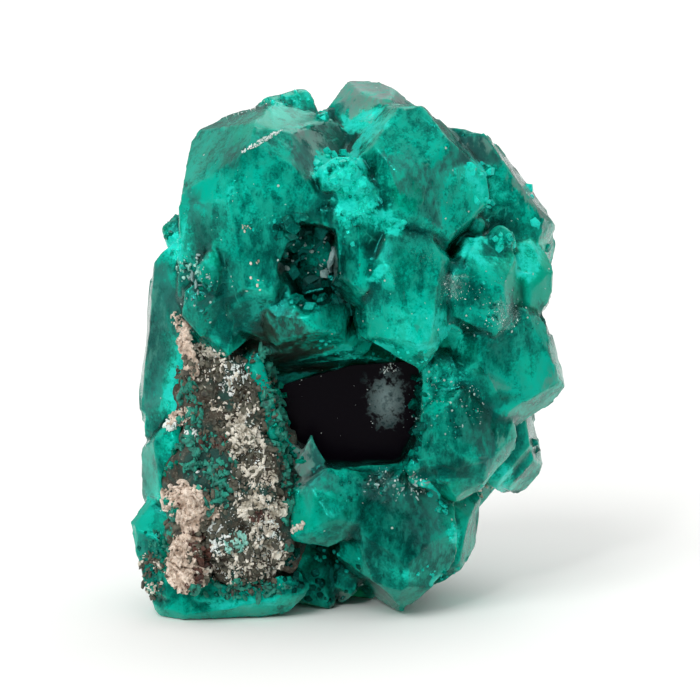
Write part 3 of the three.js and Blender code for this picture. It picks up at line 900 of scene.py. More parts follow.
@dataclass
class CrystalCluster:
    """The crystals grown into each other: an evenly meshed copy of their solid with growth steps and wear."""

    voxel: float = 0.15 * MM
    most_faces: int = 198000  # triangles that the piece keeps
    fill: float = 0.35  # share of the grooves that later growth has filled
    fill_depth: float = 0.4 * MM
    swell: float = 0.1 * MM  # gentle unevenness of the faces
    swell_pitch: float = 2.2 * MM
    step: float = 0.09 * MM  # height of the growth steps and cleavage ledges
    step_pitch: float = 1.5 * MM
    step_lot: float = 3.7  # takes neighbouring steps to unlike heights
    pit: float = 0.025 * MM
    pit_pitch: float = 0.5 * MM
    pit_shift: Triple = (5, 5, 5)
    look_round: float = 5.0 * MM  # how far the painted shade of the clefts reaches
    rays: int = 14
    skin: float = 0.05 * MM  # how far off the surface a ray starts
    thick: float = 12 * MM  # what counts as fully thick
    # the edges and grooves found by this smoothing get a painted highlight and painted shade
    relief_rounds: int = 14
    relief_depth: float = 0.14 * MM
    # the broad hollows found by this smoothing get painted shade
    wide_rounds: int = 70
    wide_depth: float = 0.5 * MM
    patch_warp_px: float = 9.0  # how far the borders of the patches wander
    patch_warp_pitch: float = 1.6 * MM
    patch_border: Span = (0.7, 1.3)  # where a patch starts to fade and ends, in half widths
    patch_reach: Span = (3.0 * MM, 5.0 * MM)  # the same in depth
    mirror_fade: float = 0.1  # by how much the cosine changes while a patch of painted reflection or highlight ends
    unseen_edge: Span = (-0.25, 0.15)  # cosines to the view between which a side goes out of sight
    unseen_tints: tuple[tuple[Tint, float, float, float], ...] = (
        (Tint.TURQUOISE, 2.6, 0.2, 0.45), (Tint.EMERALD, 3.4, 0.15, 0.45), (Tint.DUST, 2.9, 0.2, 0.5),
        (Tint.FROST, 2.2, 0.3, 0.5))  # tint, pitch in millimetres, and the noise's levels at 0 and at 1
    unseen_clear: Span = (0.72, 0.74)  # the clearness from which an unseen face gets a painted reflection
    # how much painted reflection the clear unseen faces get
    unseen_mirror: float = 0.8
    flat: float = 0.3 * MM  # faces nearer than this in one plane are one face
    seed: int = 7

    def build(self, node: Object) -> Object:
        """Makes the cluster's piece.

        Args:
            node: the solid of the crystals.

        Returns:
            The dressed piece.
        """
        mesh = remeshed(node.data, self.voxel, self.most_faces)
        bulge = hollowness(mesh, coordinates(mesh), coordinates(mesh, "normal"), self.relief_rounds)
        self.weather(mesh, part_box("dioptase_crystals"), bulge)
        self.shade(mesh, node, bulge / self.relief_depth)
        piece = new_object("crystals", mesh, DioptaseFinish().material())
        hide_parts("dioptase_crystals")
        return piece

    def weather(self, mesh: Mesh, box: Box, bulge: np.ndarray) -> None:
        """Gives the faces their unevenness, growth steps and small pits.

        Args:
            mesh: the cluster's mesh, which is changed.
            box: what the surface stays within.
            bulge: how deep each vertex lies in a groove, in metres.
        """
        places, normals = coordinates(mesh), coordinates(mesh, "normal")
        rise = np.empty(len(places))
        for i, point in enumerate(places):
            place = Vector(point)
            _, sites = noise.voronoi(place / self.step_pitch)
            rise[i] = (self.swell * noise.noise(place / self.swell_pitch)
                       + self.step * (noise.cell(sites[0] * self.step_lot) - 0.5)
                       + self.pit * noise.noise(place / self.pit_pitch + Vector(self.pit_shift)))
        rise += self.fill * np.clip(bulge, 0.0, self.fill_depth)
        reshape(mesh, np.clip(places + normals * rise[:, None], np.array(box[0]), np.array(box[1])))

    def shade(self, mesh: Mesh, node: Object, bulge: np.ndarray) -> None:
        """Stores the patches of colour, some of them painted reflections, highlights and shade, the painted
        shade of the clefts, how thin each place is for a painted glow, and the edges and grooves that get a
        painted highlight and painted shade.

        Args:
            mesh: the cluster's mesh, which gets five colour attributes.
            node: the solid, whose flat faces are told apart.
            bulge: how far each vertex lies in a groove, or, below 0, out on an edge.
        """
        places, normals = coordinates(mesh), coordinates(mesh, "normal")
        tree = surface_tree(mesh)
        channels = self.patches(places, normals, tree)
        open_share, thin = self.openness(places, normals, tree)
        tone, clear = self.facets(places, node.data)
        self.strew_unseen(channels, places, normals, clear)
        # Broad hollows, which get painted shade.
        wide = hollowness(mesh, places, normals, self.wide_rounds) / self.wide_depth
        store(mesh, "tint", *channels[:3])
        store(mesh, "state", *channels[3:6])
        store(mesh, "light", open_share, thin, tone)
        # Edges with their painted highlight, grooves with their painted shade, and each face's clearness.
        store(mesh, "relief", np.clip(-bulge, 0, 1), np.clip(bulge, 0, 1), clear)
        store(mesh, "veil", *channels[6:], np.clip(wide, -1, 1))

    def patches(self, places: np.ndarray, normals: np.ndarray, tree: BVHTree) -> np.ndarray:
        """Puts the photograph's patches on the crystals.

        Args:
            places: the vertices.
            normals: their normals.
            tree: the surface.

        Returns:
            For each tint, its weight at each vertex.
        """
        shown = VIEW.project(places)
        warp = np.array([noise.noise_vector(Vector(p) / self.patch_warp_pitch) for p in places])
        shown[:, :2] += warp[:, :2] * self.patch_warp_px
        channels = np.zeros((len(Tint), len(places)))
        for patch in PATCHES:
            middle, facing = VIEW.hit(tree, patch.x, patch.y)
            depth = VIEW.project(np.array([middle]))[0, 2]
            angle = math.radians(patch.turn)
            across, down = shown[:, 0] - patch.x, shown[:, 1] - patch.y
            along = (across * math.cos(angle) + down * math.sin(angle)) / patch.wide
            over = (down * math.cos(angle) - across * math.sin(angle)) / patch.high
            inside = 1.0 - smooth_step(*self.patch_border, np.hypot(along, over))
            near = 1.0 - smooth_step(*self.patch_reach, np.abs(shown[:, 2] - depth))
            weight = inside * near * patch.strength
            # Painted reflections and highlights stay on faces turned like the face at the patch's middle.
            if patch.tint in (Tint.GREY, Tint.PALE):
                level = normals @ np.array(facing)
                weight *= smooth_step(patch.spread, patch.spread + self.mirror_fade, level)
            channels[patch.tint.value] = np.maximum(channels[patch.tint.value], weight)
        return channels

    def openness(self, places: np.ndarray, normals: np.ndarray,
                 tree: BVHTree) -> tuple[np.ndarray, np.ndarray]:
        """How much of the surroundings each vertex faces, and how thin the crystal is behind it, for the
        painted shade of the clefts and a painted glow where it is thin.

        Args:
            places: the vertices.
            normals: their normals.
            tree: the surface.

        Returns:
            Both, from 0 to 1.
        """
        rng = np.random.default_rng(self.seed)
        directions = rng.normal(size=(self.rays, 3))
        directions /= np.linalg.norm(directions, axis=1)[:, None]
        open_share, thin = np.zeros(len(places)), np.zeros(len(places))
        for i, (place, normal) in enumerate(zip(places, normals)):
            start = Vector(place + normal * self.skin)
            free = 0
            for direction in directions:
                aim = direction if direction @ normal > 0 else -direction
                free += tree.ray_cast(start, Vector(aim), self.look_round)[0] is None
            open_share[i] = free / self.rays
            # How thin the crystal is here; thin places get a painted glow.
            _, _, _, through = tree.ray_cast(Vector(place - normal * self.skin), Vector(-normal), self.thick)
            thin[i] = 1.0 - (through or self.thick) / self.thick
        return open_share, thin

    def strew_unseen(self, channels: np.ndarray, places: np.ndarray, normals: np.ndarray,
                     clear: np.ndarray) -> None:
        """Gives the sides that the photograph doesn't show the same variety of tints.

        Args:
            channels: for each tint, its weight at each vertex, which is changed.
            places: the vertices.
            normals: their normals.
            clear: the clearness of the face that each is on.
        """
        unseen = 1.0 - smooth_step(*self.unseen_edge, normals @ np.array(VIEW.axes()[2]))
        for tint, pitch_mm, low, high in self.unseen_tints:
            shift = Vector((tint.value * 9.0, 4.0, 1.0))
            strewn = np.array([noise.noise(Vector(p) / (pitch_mm * MM) + shift) for p in places])
            channels[tint.value] = np.maximum(channels[tint.value], smooth_step(low, high, strewn) * unseen)
        # Clear faces on the unseen sides get a painted reflection.
        mirrors = smooth_step(*self.unseen_clear, clear) * unseen * self.unseen_mirror
        channels[Tint.GREY.value] = np.maximum(channels[Tint.GREY.value], mirrors)

    def facets(self, places: np.ndarray, solid: Mesh) -> tuple[np.ndarray, np.ndarray]:
        """Gives each flat face of the solid a tone and a clearness of its own.

        Args:
            places: the points that ask for them.
            solid: the solid's mesh.

        Returns:
            The tone, from -0.5 to 0.5, and the clearness, from 0 to 1, of each point.
        """
        tree = surface_tree(solid)
        keys = [tuple(round(c, 1) for c in p.normal) + (round(p.normal @ p.center / self.flat),)
                for p in solid.polygons]
        lots = {key: Random(str(key)) for key in set(keys)}
        drawn = {key: (lot.random() - 0.5, lot.random()) for key, lot in lots.items()}
        found = np.array([drawn[keys[tree.find_nearest(Vector(p))[2]]] for p in places])
        return found[:, 0], found[:, 1]


@dataclass
class RoughLump:
    """A lump of rock or crust: an evenly meshed copy of its solid, roughened by ridged noise."""

    node: str
    slot: str
    voxel: float
    rough: float
    pitch: float
    grow: float
    ridged: tuple[float, float, int, float] = (1.0, 2.1, 4, 0.7)  # its fall, step, octaves and offset

    def build(self, node: Object, material: Material) -> Object:
        """Makes the lump's piece.

        Args:
            node: its solid.
            material: its finish.

        Returns:
            The dressed piece.
        """
        mesh = remeshed(node.data, self.voxel)
        places, normals = coordinates(mesh), coordinates(mesh, "normal")
        ridges = np.array([noise.hetero_terrain(Vector(p) / self.pitch, *self.ridged) for p in places])
        rise = self.grow + self.rough * np.clip(ridges - self.ridged[-1], -1.0, 1.0)
        reshape(mesh, places + normals * rise[:, None])
        piece = new_object(self.node + "_face", mesh, material)
        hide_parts(self.node)
        return piece


# The plate's near black is painted shade of the unlit hollow behind it.
@dataclass
class DarkFace:
    """The dark crystal face at the back of the hollow, a thin plate whose border runs into the rim."""

    corners: tuple[tuple[float, float], ...] = (
        (-5.64, 17.6), (0.36, 18.0), (2.46, 18.6), (5.06, 18.6), (5.46, 17.0), (4.86, 13.4), (3.76, 11.2),
        (-1.44, 11.0), (-4.24, 13.2))  # across and up, in millimetres
    front: float = -4.34 * MM
    thickness: float = 0.5 * MM
    blank: Span = (14 * MM, 10 * MM)  # width and height before its border is cut
    overlap: float = 0.3 * MM

    def build(self) -> Object:
        """Makes the plate."""
        shape = bmesh.new()
        middle_x = sum(x for x, _ in self.corners) / len(self.corners) * MM
        middle_z = sum(z for _, z in self.corners) / len(self.corners) * MM
        size = Matrix.Diagonal((self.blank[0], self.thickness, self.blank[1], 1))
        place = Matrix.Translation((middle_x, self.front + self.thickness / 2, middle_z))
        bmesh.ops.create_cube(shape, size=1.0, matrix=place @ size)
        for (x0, z0), (x1, z1) in zip(self.corners, self.corners[1:] + self.corners[:1]):
            outward = Vector((-(z1 - z0), 0, x1 - x0)).normalized()
            cut_and_close(shape, Vector((x0 * MM, 0, z0 * MM)) + outward * self.overlap, outward, TOUCHING)
        bmesh.ops.recalc_face_normals(shape, faces=shape.faces)
        mesh = taken(shape, "hollow_dark_face")
        return new_object("hollow_dark_face", mesh, DarkFaceFinish().material())


class Crumb(Enum):
    """What a crumb is made of: its name, its dull colour, its light colour and its material slot."""

    IVORY = ("ivory", "857c68", "f0eadc", "calcite_crust")
    WHITE = ("white", "c3d3cc", "f7fbf8", "calcite_crust")
    BEIGE = ("beige", "856e5a", "f2e0cf", "calcite_crust")
    RUST = ("rust", "2c1410", "5a3325", "host_rock")
    STONE = ("stone", "24231d", "5f5e4e", "host_rock")
    MINT = ("mint", "3a9a8a", "a6ded0", "calcite_crust")
    GREEN = ("green", "003c34", "12947e", "dioptase")
    SLATE = ("slate", "3f6a6c", "a4c4c0", "dioptase")


@dataclass(frozen=True)
class CrumbField:
    """A strewn patch of crumbs, by its place in a view.

    Args:
        kind: what they are made of.
        view: the view whose frame the place is given in.
        stray: how far from the rock and its crusts they may lie, in millimetres.
        x: pixel across of its middle.
        y: pixel down of its middle.
        wide: half its width in pixels.
        high: half its height in pixels.
        count: how many crumbs.
        least: half the size of the smallest, in millimetres.
        most: half the size of the largest.
        turn: degrees by which the oval is turned, clockwise.
    """

    kind: Crumb
    view: PhotoView
    stray: float
    x: float
    y: float
    wide: float
    high: float
    count: int
    least: float = 0.07
    most: float = 0.2
    turn: float = 0.0


ON_ROCK, BY_ROCK, ANYWHERE = 0.7, 2.0, 99.0  # how far crumbs stray, in millimetres

# Rows of x, y, wide, high and count, then least, most and turn where they aren't the usual.
CRUMB_ROWS = (
    (Crumb.IVORY, VIEW, ON_ROCK, (
        (208, 350, 20, 8, 150), (214, 372, 24, 18, 140), (236, 402, 26, 16, 130),
        (240, 425, 18, 13, 200, 0.07, 0.3), (248, 452, 18, 26, 300, 0.06, 0.28), (262, 482, 15, 18, 190),
        (262, 508, 26, 13, 300, 0.07, 0.3), (268, 545, 18, 32, 380, 0.06, 0.26), (244, 572, 26, 14, 160),
        (216, 562, 26, 20, 150),
    )),
    (Crumb.IVORY, VIEW, ANYWHERE, ((150, 574, 14, 22, 120, 0.05),)),
    (Crumb.IVORY, VIEW, ON_ROCK, ((256, 500, 22, 80, 420, 0.05, 0.16),)),
    (Crumb.IVORY, VIEW, ANYWHERE, (
        (302, 530, 12, 7, 90, 0.06, 0.22), (256, 272, 10, 20, 9, 0.06, 0.16), (245, 228, 5, 4, 8, 0.05, 0.14),
    )),
    (Crumb.IVORY, BACK, ANYWHERE, (
        (300, 420, 60, 12, 150, 0.05, 0.26, 35), (440, 500, 60, 14, 130, 0.05, 0.26, -50),
    )),
    (Crumb.IVORY, LEFT, ANYWHERE, ((300, 470, 60, 14, 120, 0.05, 0.24, 55),)),
    (Crumb.IVORY, RIGHT, ANYWHERE, ((380, 520, 60, 10, 110, 0.05, 0.24, -30),)),
    (Crumb.WHITE, VIEW, ON_ROCK, (
        (234, 378, 18, 18, 130, 0.05, 0.16), (270, 545, 14, 28, 130, 0.05, 0.18),
        (216, 536, 15, 14, 120, 0.06, 0.24), (190, 437, 9, 8, 50, 0.05), (200, 468, 10, 5, 40, 0.05, 0.18),
        (255, 500, 36, 70, 260, 0.03, 0.09), (250, 465, 20, 110, 520, 0.03, 0.12, -8),
        (222, 365, 24, 20, 120, 0.03, 0.1), (225, 560, 30, 22, 200, 0.03, 0.13),
    )),
    (Crumb.WHITE, VIEW, ANYWHERE, (
        # The thin lines of white crumbs at 262, 141 and at 244, 110 are painted highlights along a cleavage
        # step and a crystal's top edge.
        (171, 426, 7, 5, 60, 0.06, 0.22), (262, 141, 23, 2.2, 190, 0.03, 0.09, -29),
        (244, 110, 34, 3, 40, 0.03, 0.09, -18), (196, 285, 16, 24, 16, 0.03, 0.1),
        (455, 288, 18, 14, 50, 0.015, 0.055), (503, 320, 18, 12, 60, 0.015, 0.06),
        (474, 405, 10, 24, 26, 0.015, 0.05), (345, 410, 66, 46, 36, 0.015, 0.06),
        (390, 368, 10, 5, 26, 0.03, 0.1), (402, 482, 30, 14, 40, 0.02, 0.09),
    )),
    (Crumb.BEIGE, VIEW, ANYWHERE, (
        (183, 500, 21, 19, 300, 0.08, 0.34), (208, 508, 16, 8, 110, 0.07, 0.24),
        (182, 530, 9, 18, 110, 0.08, 0.26), (180, 566, 15, 24, 240, 0.08, 0.34),
        (182, 335, 9, 24, 110, 0.06, 0.2, -18), (180, 417, 16, 7, 120, 0.07, 0.24, -28),
    )),
    (Crumb.RUST, VIEW, ON_ROCK, (
        (202, 560, 9, 28, 130, 0.1, 0.3), (262, 515, 14, 7, 36, 0.08), (190, 512, 20, 12, 26, 0.06, 0.14),
        (212, 440, 16, 12, 40, 0.1, 0.24), (180, 590, 20, 8, 60, 0.08, 0.22),
    )),
    (Crumb.RUST, VIEW, ANYWHERE, ((190, 540, 8, 12, 30, 0.06, 0.18),)),
    (Crumb.STONE, VIEW, ON_ROCK, (
        (235, 400, 44, 54, 420, 0.08, 0.32), (245, 480, 46, 40, 260, 0.08, 0.32),
        (240, 555, 52, 40, 420, 0.08, 0.34),
    )),
    (Crumb.STONE, VIEW, ANYWHERE, (
        (152, 575, 18, 24, 160, 0.06, 0.24), (174, 534, 7, 16, 110, 0.12, 0.4),
        (204, 538, 9, 24, 110, 0.08, 0.3), (186, 372, 10, 14, 90, 0.08, 0.28),
    )),
    (Crumb.STONE, BACK, ANYWHERE, ((310, 430, 66, 16, 190, 0.08, 0.3, 35),)),
    (Crumb.STONE, LEFT, ANYWHERE, ((296, 476, 66, 18, 150, 0.08, 0.3, 55),)),
    (Crumb.MINT, VIEW, ON_ROCK, ((236, 544, 11, 11, 90, 0.08, 0.28),)),
    (Crumb.MINT, VIEW, ANYWHERE, (
        (440, 410, 44, 36, 60, 0.02, 0.07), (505, 290, 40, 40, 24, 0.02, 0.06),
        (390, 320, 40, 36, 24, 0.02, 0.06), (240, 210, 56, 60, 24, 0.02, 0.05),
        (395, 482, 34, 16, 30, 0.04, 0.12), (190, 268, 12, 12, 40, 0.06),
    )),
    (Crumb.MINT, BACK, ANYWHERE, ((420, 220, 70, 80, 60, 0.03, 0.09),)),
    (Crumb.MINT, RIGHT, ANYWHERE, ((340, 320, 80, 120, 60, 0.03, 0.09),)),
    (Crumb.GREEN, VIEW, ANYWHERE, (
        (172, 530, 7, 20, 90, 0.12, 0.4), (190, 425, 12, 50, 200, 0.08, 0.4),
        (272, 400, 9, 56, 200, 0.08, 0.4, -8), (216, 472, 20, 44, 220, 0.08, 0.36),
        (240, 588, 52, 9, 160, 0.08, 0.36),
    )),
    (Crumb.GREEN, VIEW, BY_ROCK, ((154, 560, 13, 30, 130, 0.05),)),
    (Crumb.GREEN, VIEW, ANYWHERE, ((288, 500, 7, 50, 110, 0.08, 0.36),)),
    (Crumb.GREEN, BACK, ANYWHERE, ((360, 480, 70, 30, 170, 0.08, 0.36, -20),)),
    (Crumb.GREEN, LEFT, ANYWHERE, ((290, 500, 60, 26, 120, 0.08, 0.3, 55),)),
    (Crumb.SLATE, VIEW, ANYWHERE, (
        (396, 486, 34, 16, 60, 0.04, 0.18), (328, 256, 8, 24, 16, 0.15, 0.5),
        (440, 405, 36, 30, 70, 0.03, 0.13), (300, 262, 16, 26, 16, 0.1, 0.35),
        (480, 305, 44, 34, 70, 0.02, 0.09), (196, 280, 14, 26, 26, 0.06, 0.24),
    )),
)
CRUMB_FIELDS = [CrumbField(*ground, *row) for *ground, rows in CRUMB_ROWS for row in rows]


@dataclass
class Crumbs:
    """Crumbs of calcite and stone that stick to the rock and the crystals."""

    shapes: int = 12
    blocky: tuple[Span, ...] = ((0.6, 1.3), (0.6, 1.0), (0.5, 0.9))  # each shape's size along x, y and z
    lumpy: Span = (0.7, 1.15)  # how far out each of its corners stands
    longer: Span = (0.9, 2.0)  # by how much each crumb is drawn out
    flatter: Span = (0.6, 1.0)
    stand_out: float = 0.45  # share of its size by which a crumb stands out
    smallness: float = 1.8  # above 1, small crumbs are more common than large ones
    clump_pitch: float = 1.2 * MM
    clump_shift: float = 40  # gives fields with unlike crumbs clumps of their own
    gaps: float = -0.2  # level of the clumping noise below which the ground stays bare
    margin: float = 1.5  # least distance to the box's sides, in crumb sizes
    seed: int = 41

    def crumb(self, rng: Random) -> Mesh:
        """Makes one angular crumb of half size 1.

        Args:
            rng: the source of chance.

        Returns:
            Its mesh.
        """
        shape = bmesh.new()
        bmesh.ops.create_icosphere(shape, subdivisions=1, radius=1.0)
        stretch = Vector([rng.uniform(*span) for span in self.blocky])
        for vertex in shape.verts:
            vertex.co = vertex.co * stretch * rng.uniform(*self.lumpy)
        return taken(shape, "crumb")

    def build(self, tree: BVHTree, rock: BVHTree, box: Box) -> None:
        """Makes one piece for each kind of crumb.

        Args:
            tree: the surface that the crumbs stick to.
            rock: the surface of the rock and its crusts.
            box: what they stay within.
        """
        rng = Random(self.seed)
        variants = [self.crumb(rng) for _ in range(self.shapes)]
        for kind in Crumb:
            name, dull, light, slot = kind.value
            shape = bmesh.new()
            for spot in (spot for spot in CRUMB_FIELDS if spot.kind is kind):
                for _ in range(spot.count):
                    put = self.placed(spot, tree, rock, box, rng)
                    if put is not None:
                        add_copy(shape, rng.choice(variants), put)
            finish = CrumbFinish(name + "_grains", dull, light)
            new_object(name + "_crumbs", taken(shape, name + "_crumbs"), finish.material())
        for variant in variants:
            bpy.data.meshes.remove(variant)

    def placed(self, spot: CrumbField, tree: BVHTree, rock: BVHTree, box: Box, rng: Random) -> Matrix | None:
        """Chooses where one crumb sits.

        Args:
            spot: its field.
            tree: the surface that it sticks to.
            rock: the surface of the rock and its crusts.
            box: what it stays within.
            rng: the source of chance.

        Returns:
            Its matrix, or None where it finds no room.
        """
        place, normal = spot.view.hit(tree, *pixel_in_oval(spot, rng))
        size = (spot.least + (spot.most - spot.least) * rng.random() ** self.smallness) * MM
        turn = Euler([rng.uniform(0, math.tau) for _ in range(3)]).to_matrix().to_4x4()
        if place is None or rock.find_nearest(place)[3] > spot.stray * MM:
            return None
        if noise.noise(place / self.clump_pitch + Vector((spot.most, 0, 0)) * self.clump_shift) < self.gaps:
            return None
        if room(place, box) < self.margin * size:
            return None
        stretch = Matrix.Diagonal((rng.uniform(*self.longer), 1.0, rng.uniform(*self.flatter), 1.0))
        return (Matrix.Translation(place + normal * size * self.stand_out) @ turn
                @ Matrix.Scale(size, 4) @ stretch)


@dataclass(frozen=True)
class DruseField:
    """A patch of small crystals, by its place in a view.

    Args:
        view: the view whose frame the place is given in.
        tint: what they show.
        x: pixel across of its middle.
        y: pixel down of its middle.
        wide: half its width in pixels.
        high: half its height in pixels.
        count: how many crystals.
        least: half the length of the smallest, in millimetres.
        most: half the length of the largest.
        flat: thickness as a share of the usual, small for cleavage flakes.
        turn: degrees by which the oval is turned, clockwise.
    """

    view: PhotoView
    tint: Tint
    x: float
    y: float
    wide: float
    high: float
    count: int
    least: float
    most: float
    flat: float = 1.0
    turn: float = 0.0


# For each view, rows of tint, x, y, wide, high, count, least and most, then flat and turn where they aren't
# the usual.
# Small crystals with the grey and pale tints carry painted reflections and highlights, those with the dark
# tint painted shade, and those with the smoke tint in part painted shadow.
DRUSE_ROWS = {
    VIEW: (
        (Tint.TURQUOISE, 334, 166, 24, 15, 46, 0.3, 0.95), (Tint.TURQUOISE, 358, 202, 20, 20, 46, 0.3, 0.95),
        (Tint.TURQUOISE, 392, 222, 12, 9, 12, 0.2, 0.6), (Tint.TURQUOISE, 350, 235, 8, 16, 10, 0.2, 0.6),
        (Tint.TURQUOISE, 180, 248, 11, 11, 16, 0.2, 0.6), (Tint.FROST, 192, 268, 11, 12, 18, 0.15, 0.45),
        (Tint.EMERALD, 205, 290, 10, 14, 8, 0.3, 0.8), (Tint.GREY, 200, 300, 14, 24, 12, 0.25, 0.8, 0.4),
        (Tint.TURQUOISE, 478, 168, 14, 7, 9, 0.6, 1.4, 0.6),
        (Tint.TURQUOISE, 486, 205, 14, 18, 8, 0.4, 1.1, 0.6), (Tint.TURQUOISE, 506, 240, 11, 8, 12, 0.4, 0.9),
        (Tint.PALE, 402, 484, 36, 12, 12, 0.25, 0.7, 0.22), (Tint.GREY, 388, 486, 30, 14, 30, 0.4, 1.1, 0.25),
        (Tint.TURQUOISE, 436, 498, 6, 20, 14, 0.2, 0.6, 1.0, -30),
        (Tint.TURQUOISE, 454, 534, 6, 10, 8, 0.3, 0.8),
        (Tint.TURQUOISE, 340, 350, 30, 7, 26, 0.15, 0.5, 1.0, 12),
        (Tint.TURQUOISE, 400, 356, 34, 5, 16, 0.12, 0.4), (Tint.DUST, 290, 470, 14, 36, 36, 0.15, 0.45),
        (Tint.GREY, 304, 264, 20, 30, 12, 0.8, 1.8, 0.6), (Tint.PALE, 318, 262, 12, 26, 9, 0.3, 0.8, 0.4),
        (Tint.DUST, 302, 250, 24, 30, 22, 0.9, 2.4, 0.8),
        (Tint.DARK, 290, 238, 14, 30, 12, 0.5, 1.3, 0.8, -20),
        (Tint.DARK, 330, 285, 10, 20, 12, 0.5, 1.2, 0.8), (Tint.SMOKE, 326, 250, 6, 24, 8, 0.4, 0.9, 0.5),
        (Tint.GREY, 328, 110, 5, 5, 6, 1.0, 1.6, 0.9), (Tint.TURQUOISE, 322, 112, 5, 5, 5, 1.0, 1.5, 0.9),
        (Tint.EMERALD, 281, 420, 8, 60, 22, 0.4, 1.1, 0.8, -8),
        (Tint.DUST, 308, 302, 20, 7, 12, 0.7, 1.5, 0.7), (Tint.DARK, 418, 420, 6, 50, 30, 0.4, 1.2, 0.7),
        (Tint.EMERALD, 290, 480, 10, 36, 18, 0.3, 0.9, 0.8), (Tint.DUST, 240, 592, 50, 5, 20, 0.3, 0.8),
        (Tint.EMERALD, 172, 480, 8, 40, 16, 0.3, 0.8), (Tint.DUST, 450, 400, 34, 34, 40, 0.15, 0.5, 0.5),
        (Tint.TURQUOISE, 432, 375, 18, 26, 24, 0.15, 0.5, 0.6),
        (Tint.DUST, 505, 322, 34, 20, 30, 0.15, 0.45, 0.5),
        (Tint.FROST, 455, 286, 18, 13, 22, 0.12, 0.35, 0.4), (Tint.DARK, 320, 575, 44, 26, 30, 0.3, 1.0),
        (Tint.TURQUOISE, 330, 560, 30, 16, 12, 0.2, 0.6), (Tint.EMERALD, 165, 232, 8, 9, 6, 0.3, 0.7),
        (Tint.TURQUOISE, 440, 572, 26, 8, 16, 0.2, 0.6), (Tint.GREY, 345, 596, 8, 6, 6, 0.3, 0.7, 0.5),
        (Tint.TURQUOISE, 268, 224, 22, 12, 12, 0.15, 0.45, 0.6), (Tint.DUST, 360, 490, 24, 12, 20, 0.15, 0.5),
        (Tint.DUST, 150, 560, 14, 34, 24, 0.15, 0.5), (Tint.TURQUOISE, 285, 98, 26, 7, 16, 0.2, 0.6, 0.7),
    ),
    BACK: (
        (Tint.TURQUOISE, 300, 330, 40, 60, 22, 0.5, 1.4), (Tint.DUST, 380, 200, 60, 60, 16, 0.4, 1.1),
        (Tint.DARK, 330, 480, 50, 50, 18, 0.5, 1.3),
    ),
    LEFT: (
        (Tint.TURQUOISE, 330, 250, 50, 60, 16, 0.4, 1.2), (Tint.GREY, 350, 400, 60, 80, 16, 0.4, 1.1, 0.5),
    ),
    RIGHT: (
        (Tint.TURQUOISE, 340, 300, 60, 90, 10, 0.5, 1.3), (Tint.FROST, 360, 450, 60, 60, 12, 0.4, 1.0, 0.5),
    ),
}
DRUSE_FIELDS = [DruseField(view, *row) for view, rows in DRUSE_ROWS.items() for row in rows]


